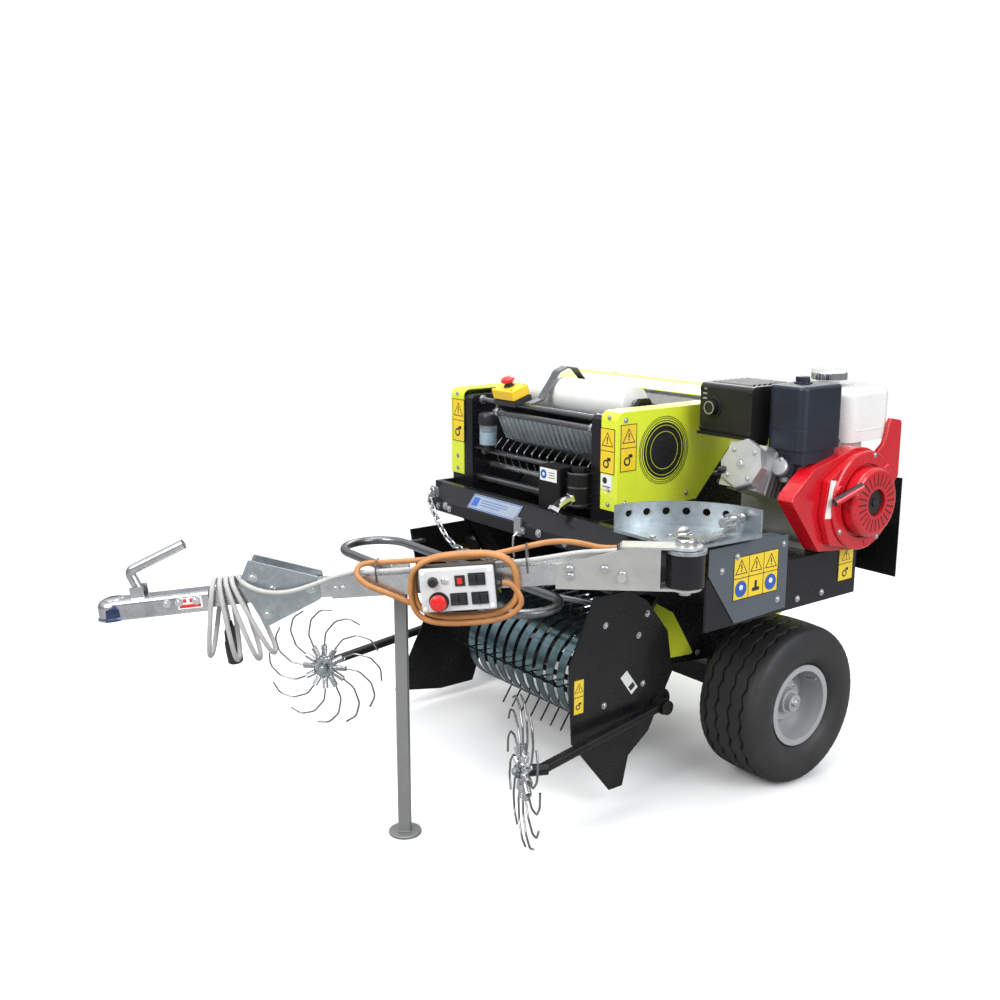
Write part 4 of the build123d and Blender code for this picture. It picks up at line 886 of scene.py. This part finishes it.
def fan_cover():
    """The moulded fan cover with its strip and bolts, and the starter's dark ring, vanes and grip."""
    red = Piece("fan_cover_moulded")
    arc = [polar(CRANK, 138, degrees) for degrees in range(112, -110, -6)]
    red.prism([(-96, 706), (-212, 850), (-206, 866), (-128, 926), *arc], "x", 717, 766)
    red.prism(scaled([(-86, 716), (-120, 800), (-108, 900), *arc], CRANK, 0.93, 0.93), "x", 766, 786)
    red.prism([(150, 912), (176, 936), (204, 956), (218, 985), (224, 1012), (232, 1024), (276, 1016),
               (281, 1006), (281, 860), (262, 840), (170, 800)], "x", 722, 735)
    red.lathe([(0, 132), (5, 132), (8, 128), (8, 98), (0, 96)], (786, *CRANK), X, 64, closed=True)
    for y, z in circle(CRANK, 116, 3, 40):
        red.rod((786, y, z), (798, y, z), 14, 24, 3)
    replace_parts(red.done(RED, 4), "fan_cover")
    dark = Piece("recoil_dark")
    dark.lathe([(0, 35), (3, 35), (4, 30), (4, 12), (9, 10), (9, 2)], (818.5, *CRANK), X)
    for i in range(VANES):
        dark.place = ROW @ Matrix.Translation((0, *CRANK)) @ Matrix.Rotation(2 * pi * i / VANES, 4, "X")
        dark.box(826.2, 829.2, -2.4, 2.4, 44, 76)
    dark.done(PLASTIC)
    grip = Piece("recoil_grip")
    grip.lathe([(-4, 6), (0, 10.6), (24, 11), (50, 10.6), (84, 11), (92, 10.4), (96, 5)], (804, -92, 842),
               (23, 78, 36), 28)
    grip.done(PLASTIC)
    bolted = Piece("engine_bolts")
    for degrees in (15, 75, 160, 215, 300):
        bolted.bolt((793, *polar(CRANK, 122, degrees)), X, 5)
    way = Vector((0, -cos(CYLINDER_TILT), sin(CYLINDER_TILT)))
    head = Vector((610, *CRANK)) + way * 298
    bolted.bolt(head, way, 9)
    for across, up in circle(MIDDLE, 48, 4, 45):
        bolted.bolt(head + Vector(X) * across + way.cross(Vector(X)) * up, way, 5)
    bolted.done(ZINC)
    label = Piece("fan_cover_strip")
    label.prism([(-104, 798), (-80, 796), (-66, 893), (-88, 897)], "x", 786.2, 787)
    label.done(WHITE)


def carburettor():
    """Small castings, levers and lines between the cylinder and the air cleaner."""
    cast = Piece("carburettor")
    cast.rod((676, -110, 905), (676, -160, 925), 24, 28, 3)
    cast.rod((676, -126, 880), (676, -126, 915), 21, 28, 4)
    cast.box(650, 702, -150, -104, 915, 958)
    cast.rod((640, -190, 900), (640, -150, 905), 15, 20, 2)
    cast.bolt((676, -150, 940), AHEAD, 6)
    cast.rod((702, -124, 936), (722, -124, 936), 7, 16, 1)
    cast.done(ALLOY, 1.5)
    rods = Piece("throttle_rods")
    rods.sweep([(712, -128, 936), (716, -90, 930), (716, -40, 905), (712, 0, 893)], 1.8)
    spring = [(704 + 4 * cos(k * 0.7), -100 + 1.3 * k, 915 + 4 * sin(k * 0.7)) for k in range(70)]
    rods.sweep(spring, 0.9, 5)
    rods.box(700, 706, -150, -112, 944, 950)
    rods.done(CHROME)
    lines = Piece("fuel_lines")
    lines.sweep([(690, 66, 976), (696, 40, 960), (704, 0, 940), (706, -50, 928), (700, -90, 926),
                 (690, -106, 930)], 4, 10)
    lines.sweep([(560, -236, 905), (540, -250, 900), (520, -236, 890), (505, -190, 880), (500, -120, 880),
                 (520, -60, 890)], 4, 10)
    lines.lathe([(0, 9), (12, 11), (34, 10), (44, 7)], (572, -212, 905), (-0.45, -0.8, 0.1), 20)
    lines.done(PLASTIC)


engine_seams()
muffler_details()
tank_details()
fan_cover()
carburettor()


# ------------ front opening

def stop_box():
    """Yellow emergency stop on its dark base, tilted on the net deck."""
    place = ROW @ Matrix.Translation((-110, -424, 1058)) @ Matrix.Rotation(radians(18), 4, "X")
    yellow = Piece("stop_box_body", place)
    yellow.box(-50, 50, -33, 33, -8, 25)
    made = yellow.done(YELLOW, 5)
    base = Piece("stop_box_base", place)
    base.box(-50.5, 50.5, -33.5, 33.5, -25, -9)
    base.lathe([(25, 16), (30, 16), (31, 12), (39, 11)], ORIGIN, Z, 28)
    for x in (-40, 40):
        for y in (-24, 24):
            base.rod((x, y, 24), (x, y, 26), 3.5, 12)
    base.done(PLASTIC, 2)
    cap = Piece("stop_box_mushroom", place)
    cap.lathe([(38, 13), (40, 19), (44, 20.5), (49, 19.5), (52, 15), (53, 6)], ORIGIN, Z)
    cap.done(RED_PLASTIC)
    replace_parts(made, "stop_box")


OILER = (-214, -432)


def oiler():
    """Drip oiler: clear cup with oil in it, ribbed cap and its pipe."""
    cup = Piece("oiler_cup")
    cup.lathe([(893, 22), (896, 27), (958, 27), (959, 24.5), (897, 24.5), (895, 20)], (*OILER, 0), Z, 48,
              closed=True)
    made = cup.done(GLASS)
    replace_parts(made, "oiler")
    oil = Piece("oiler_oil")
    oil.lathe([(896, 23), (899, 24.3), (934, 24.3)], (*OILER, 0), Z)
    oil.done(OIL)
    cap = Piece("oiler_cap")
    cap.lathe([(956, 28.6), (958, 29.4), (986, 29.4), (990, 27), (992.5, 22), (992.8, 8)], (*OILER, 0), Z, 48)
    for x, y in circle(OILER, 28.9, 30):
        cap.rod((x, y, 960), (x, y, 984), 1.2, 6)
    cap.lathe([(876, 11), (884, 13), (894, 13), (896, 20)], (*OILER, 0), Z, 32)
    cap.box(-275, OILER[0], -440, -424, 877, 883)
    cap.done(PLASTIC)


def net_pieces():
    """The wound roll with its core, and the collars on the net's rods."""
    place = Matrix.Translation(middle("net_roll")) @ MM
    roll = Piece("net_roll_wound", place, "net_roll")
    profile = [(-249.5, 22)]
    for i in range(12):
        radius = 24 + 2.1 * i
        profile += [(-250 + 1.2 * (i % 2), radius), (-250 + 1.2 * (i % 2), radius + 1.8)]
    edge = [(x, 49.4 + 0.35 * sin(x * 0.19) + 0.2 * sin(x * 0.53)) for x in range(-246, 247, 6)]
    profile += edge + [(-x, radius) for x, radius in reversed(profile)]
    roll.lathe(profile, ORIGIN, X, 96)
    made = roll.done(NET, sharp=50)
    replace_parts(made, "net_roll")
    core = Piece("net_roll_core", place, "net_roll")
    core.lathe([(-250, 12), (-250, 22.5), (250, 22.5), (250, 12)], ORIGIN, X, closed=True)
    core.done(WHITE, slot="net_white")
    collars = Piece("net_rod_collars")
    for x in (-262, 256):
        collars.rod((x, -265, 1053), (x + 6, -265, 1053), 15, 28, 1)
    for x, y, z, radius in ((-268, -415, 1026, 13), (262, -415, 1026, 13), (262, -437, 1000, 13),
                            (-160, -437, 1000, 13), (-268, -408, 868, 13), (262, -408, 868, 13),
                            (60, -408, 868, 12), (180, -408, 868, 12)):
        collars.rod((x, y, z), (x + 10, y, z), radius, 24, 1)
    collars.done(ZINC)


def guide_ribs():
    """Pressed ribs down the net's guide sheet."""
    ribs = Piece("net_guide_ribs")
    for i in range(20):
        x = -160 + 22 * i
        ribs.sweep([(x, y, z) for y, z in
                    ((-430, 1002), (-430, 984), (-402, 922), (-370, 910), (-332, 896))], 2.4, 6)
    ribs.done(GALVANISED)


def drive_details():
    """The drive's elbow with its nuts, and the motor's bands."""
    fitting = Piece("drive_elbow")
    fitting.sweep([(246, -480, 812), (246, -500, 810), (247, -522, 804), (250, -540, 796), (252, -558, 788)],
                  14.6, 16)
    fitting.lathe([(0, 19), (12, 19)], (252, -552, 792), (0.05, -0.6, -0.7), 6)
    fitting.lathe([(0, 18), (10, 18)], (246, -492, 810), (0, -1, -0.1), 6)
    fitting.done(CHROME, 0.8)
    motor = Piece("drive_motor_bands")
    for z in (790, 838, 876):
        motor.lathe([(0, 32), (1, 33.5), (5, 33.5), (6, 32)], (246, -464, z), Z)
    motor.done(STEEL)


stop_box()
oiler()
net_pieces()
guide_ribs()
drive_details()


# ------------ beam, chain and sector

def stadium(length, width):
    """A link's centreline, lying in its own x and y."""
    run = (length - width) / 2
    return [(x, y + copysign(run, y)) for y, x in circle(MIDDLE, width / 2, 20, 9)]


CHAIN_PATH = ((-313, -575, 748), (-319, -577, 722), (-300, -578, 690), (-271, -577, 655), (-234, -576, 622),
              (-196, -576, 604), (-150, -576, 598), (-100, -576, 597), (-40, -576, 600), (10, -576, 606),
              (60, -576, 614), (103, -576, 622))
PITCH = 19.5
SECTOR, SECTOR_TOP = (740, -560), 782


def chain():
    """Short-link safety chain hung from the beam's end."""
    points = [Vector(point) for point in CHAIN_PATH]
    lengths = [0.0]
    for before, after in zip(points, points[1:]):
        lengths.append(lengths[-1] + (after - before).length)
    piece = Piece("beam_chain")
    for i in range(int(lengths[-1] / PITCH) + 1):
        along = i * PITCH
        k = max(j for j in range(len(lengths) - 1) if lengths[j] <= along)
        way = (points[k + 1] - points[k]).normalized()
        spot = points[k] + way * (along - lengths[k])
        flat = Vector(Y) if i % 2 else way.cross(Vector(Y))
        piece.place = facing(spot, flat, way)
        piece.sweep([(x, y, 0) for x, y in stadium(27, 14)], 3.0, 7, closed=True)
    piece.done(ZINC)


def beam_details():
    """The blank nameplate on the beam's slope, the chain's hooks and the beam's screws."""
    face = facing((-35, -543, 745), X, (0, 38, 48))
    plate = Piece("beam_nameplate", face)
    plate.box(-115, 115, -24, 24, 0.3, 1.5)
    plate.done(PLATE, 0.4)
    marks = Piece("beam_nameplate_frame", face)
    for x0, x1, y0, y1 in ((-112, 112, 20, 22), (-112, 112, -22, -20), (-112, -110, -22, 22),
                           (110, 112, -22, 22), (-104, -76, -14, 14), (-66, 60, 8, 10), (-66, 60, 0, 2),
                           (-66, 30, -8, -6)):
        marks.box(x0, x1, y0, y1, 1.4, 1.8)
    marks.done(BLUE)
    hooks = Piece("beam_hooks")
    hooks.box(-330, -296, -566, -560, 734, 764)
    hooks.sweep([(-313, y, z) for y, z in
                 ((-562, 752), (-580, 752), (-586, 744), (-580, 736), (-568, 738))], 4)
    hooks.box(88, 118, -568, -560, 690, 742)
    hooks.sweep([(103, y, z) for y, z in ((-566, 700), (-580, 690), (-582, 660), (-576, 630))], 3.5)
    for x in (-260, 190, 420):
        hooks.bolt((x, -561, 712), AHEAD, 8)
    hooks.done(ZINC, 0.8)


def sector_details():
    """Bolts on the sector, and the lock pin's head."""
    piece = Piece("sector_bolts")
    for degrees in (105, 128, 152, 176):
        piece.bolt((*polar(SECTOR, 120, degrees), SECTOR_TOP), Z, 8)
    piece.done(ZINC)
    pin = Piece("lock_pin_ring", TUBE, "drawbar")
    pin.lathe([(0, 20), (4, 20), (6, 17), (14, 16), (18, 10)], (0, 0, 70), (0.09, 0, 1), 6)
    pin.done(ZINC)


chain()
beam_details()
sector_details()


# ------------ drawbar

BOX_X, BOX_FACE, BOX_Z = 88, 29, 52          # half its length, its front face, and half its height
STOP = (46, BOX_FACE, -26)


def control_box():
    """Switch box: pale front, dark back, red stop button, rockers, knob and lamp."""
    place = TUBE @ Matrix.Translation((535, 54, -6))
    back = Piece("control_box_back", place, "drawbar")
    back.box(-BOX_X, BOX_X, -BOX_FACE, 10, -BOX_Z, BOX_Z)
    back.done(PLASTIC, 4)
    front = Piece("control_box_front", place, "drawbar")
    front.box(-BOX_X, BOX_X, 10.5, BOX_FACE, -BOX_Z, BOX_Z)
    made = front.done(PALE, 4)
    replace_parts(made, "control_box")
    screws = Piece("control_box_screws", place, "drawbar")
    for x in (-79, 79):
        for z in (-43, 43):
            screws.lathe([(0, 5.5), (1.2, 5.5), (1.8, 4.5)], (x, BOX_FACE, z), Y, 20)
    screws.done(WHITE, slot="grey_paint")
    red = Piece("control_box_stop", place, "drawbar")
    red.lathe([(8, 14), (10, 19), (16, 20), (21, 18.5), (24, 13), (25, 5)], STOP, Y)
    red.box(-14, -2, 29, 36, 15, 29)
    red.done(RED_PLASTIC, 0.6)
    black = Piece("control_box_switches", place, "drawbar")
    black.lathe([(0, 24), (2, 24), (3, 13), (9, 12)], STOP, Y, 36)
    black.lathe([(0, 13), (4, 12), (12, 10), (13, 7)], (56, BOX_FACE, 22), Y, 28)
    for x, z in ((-48, 24), (-2, -22), (-52, -22)):
        black.box(x - 20, x + 20, 29, 32, z - 15, z + 15)
        for low, high, start in ((36, 37, x - 17), (37, 36, x + 1)):
            rocker = [(32, z - 12), (low, z - 12), (33, z), (high, z + 12), (32, z + 12)]
            black.prism(rocker, "x", start, start + 16)
    black.box(-20, 4, 29, 31.5, 9, 35)
    black.lathe([(0, 13), (8, 12), (10, 10.5), (15, 10)], (-BOX_X, 0, 2), (-1, 0, 0), 8)
    black.done(PLASTIC, 0.8)
    lamp = Piece("control_box_lamp", place, "drawbar")
    lamp.lathe([(0, 8), (3, 8), (4.5, 6)], (28, BOX_FACE, 24), Y, 24)
    lamp.done(CHROME)


BALL_X = 400                 # middle of the ball socket along the coupling tube


def bolt_pairs(piece, half, size, spots):
    """Bolt heads on both sides of a tube."""
    for x, z in spots:
        piece.bolt((x, half, z), Y, size)
        piece.bolt((x, -half, z), AHEAD, size)


def drawbar_details():
    """Clips, grommets and bolts of the tubes, and the coupling's cap, band and sticker."""
    clips = Piece("hose_clips", TUBE, "drawbar")
    for x, top in ((372, 70), (736, 56)):
        clips.sweep([(x, -28, 20), (x, -27, 44), (x, -20, top), (x, 4, top + 2), (x, 22, 48), (x, 28, 26),
                     (x, 28, 8)], 2.2)
    clips.box(140, 150, -26, 26, 20, 24)
    clips.done(STEEL)
    grommets = Piece("web_grommets", TUBE, "drawbar")
    for y, z, radius in ((-10, 46, 11), (12, 45, 10)):
        grommets.lathe([(0, radius), (6, radius - 1), (8, radius - 3)], (150, y, z), X, 24)
    grommets.done(PLASTIC)
    screws = Piece("drawbar_bolts", TUBE, "drawbar")
    bolt_pairs(screws, 30.2, 8, ((150, -8), (190, 8), (272, -4), (272, 14)))
    for x in (818, 836):
        screws.bolt((x, 25.2, 0), Y, 7)
    screws.bolt((760, 0, 25.2), Z, 7)
    screws.place = NOSE @ Matrix.Rotation((TUBE_HEADING - NOSE_HEADING) / 2, 4, "Z")
    bolt_pairs(screws, 31.2, 8, ((-92, 2), (0, 12), (44, 44), (22, -52)))
    screws.done(ZINC)
    coupling = Piece("coupler_details", NOSE, "drawbar")
    bolt_pairs(coupling, 31.4, 7, ((190, 4), (232, 4), (262, 4)))
    coupling.lathe([(0, 26), (3, 25), (5, 18)], (BALL_X, 0, 22), Z)
    coupling.done(CHROME, 0.6)
    cap = Piece("coupler_nose_band", NOSE, "drawbar")
    cap.lathe([(-24.4, 41), (-20, 41), (-16, 37), (-8, 36.8), (-8, 30), (-24.4, 30)], (BALL_X, 0, 0), Z, 56,
              closed=True)
    cap.lathe([(-8, 36.8), (4, 36.7), (14, 33), (21, 26), (24.6, 16), (25, 4)], (BALL_X, 0, 0), Z, 56)
    cap.done(NAVY)
    sticker = Piece("coupler_sticker", NOSE, "drawbar")
    sticker.box(176, 236, 31.2, 31.8, -14, 14)
    sticker.done(WHITE)
    stripes = Piece("coupler_stripes", NOSE, "drawbar")
    for x0, x1, z0, z1 in ((180, 232, -11, -3), (180, 206, 2, 11), (214, 232, 2, 11)):
        stripes.box(x0, x1, 31.6, 32.1, z0, z1)
    stripes.done(RED_PLASTIC)


control_box()
drawbar_details()


# ------------ light, floor and background

SKY_LOW, SKY_HIGH = (0.10, 0.105, 0.11), (0.95, 0.97, 1.0)
PLAIN_WHITE = (1, 1, 1)
FLOOR_HALF = 30
FLOOR_SHADE = (0.34, 0.34, 0.34)
SHADOW_REACH = (1.9, 3.6)    # the floor turns plain white between these distances from the machine


def light(name, spot, target, size, power, tint=(1, 1, 1)):
    """A round soft light that points at its target."""
    data = bpy.data.lights.new(name, "AREA")
    data.shape = "DISK"
    data.size, data.energy, data.color = size, power, tint
    made = shown(name, data)
    made.location = spot
    made.rotation_euler = (Vector(target) - Vector(spot)).to_track_quat("-Z", "Y").to_euler()


def studio():
    """A large key light, a softer one from the engine's side, one from behind and one from above."""
    light("key", (0.8, -4.2, 3.8), (0, -0.2, 0.6), 2.6, 190, (1, 0.985, 0.96))
    light("fill", (4.2, 0.6, 2.6), (0, 0, 0.6), 3.0, 110, (0.96, 0.98, 1))
    light("back", (-2.6, 3.2, 3.4), (0, 0, 0.7), 2.4, 90)
    light("top", (0, -0.2, 4.6), (0, -0.2, 0), 3.0, 90)


def background():
    """White to the camera, soft grey shades to everything else."""
    world = bpy.data.worlds.new("studio")
    bpy.context.scene.world = world
    world.use_nodes = True
    tree = world.node_tree
    coords = node(tree, "TexCoord").outputs["Generated"]
    height = node(tree, "SeparateXYZ", {"Vector": coords}).outputs["Z"]
    sky = mixed(tree, ranged(tree, height, 0, 1, 0.02, 0.55), SKY_LOW, SKY_HIGH)
    seen = mixed(tree, node(tree, "LightPath").outputs["Is Camera Ray"], sky, PLAIN_WHITE)
    feed(tree, tree.nodes["Background"], {"Color": seen, "Strength": 1.0})


def floor():
    """A pale floor with soft shadows near the machine, plain white to the camera further out."""
    data = bpy.data.meshes.new("floor")
    corners = rect(-FLOOR_HALF, FLOOR_HALF, -FLOOR_HALF, FLOOR_HALF)
    data.from_pydata([(x, y, 0) for x, y in corners], [], [(0, 1, 2, 3)])
    finish = bpy.data.materials.new("floor_white")
    finish.use_nodes = True
    tree = finish.node_tree
    shader = tree.nodes["Principled BSDF"]
    rays = node(tree, "LightPath").outputs["Is Camera Ray"]
    coords = node(tree, "TexCoord").outputs["Object"]
    pale = mixed(tree, ranged(tree, noise(tree, coords, 3), 0, 1), (0.93, 0.93, 0.93), (0.95, 0.95, 0.95))
    feed(tree, shader, {"Base Color": mixed(tree, rays, FLOOR_SHADE, pale), "Roughness": 0.8,
                        "Specular IOR Level": 0.0})
    glow = node(tree, "Emission", {"Color": PLAIN_WHITE}).outputs["Emission"]
    distance = node(tree, "VectorMath", {0: coords}, operation="LENGTH").outputs["Value"]
    share = multiplied(tree, ranged(tree, distance, 0, 1, *SHADOW_REACH), rays)
    blend = node(tree, "MixShader", {"Fac": share, 1: shader.outputs["BSDF"], 2: glow}).outputs["Shader"]
    feed(tree, tree.nodes["Material Output"], {"Surface": blend})
    data.materials.append(finish)
    shown("floor", data)


studio()
background()
floor()
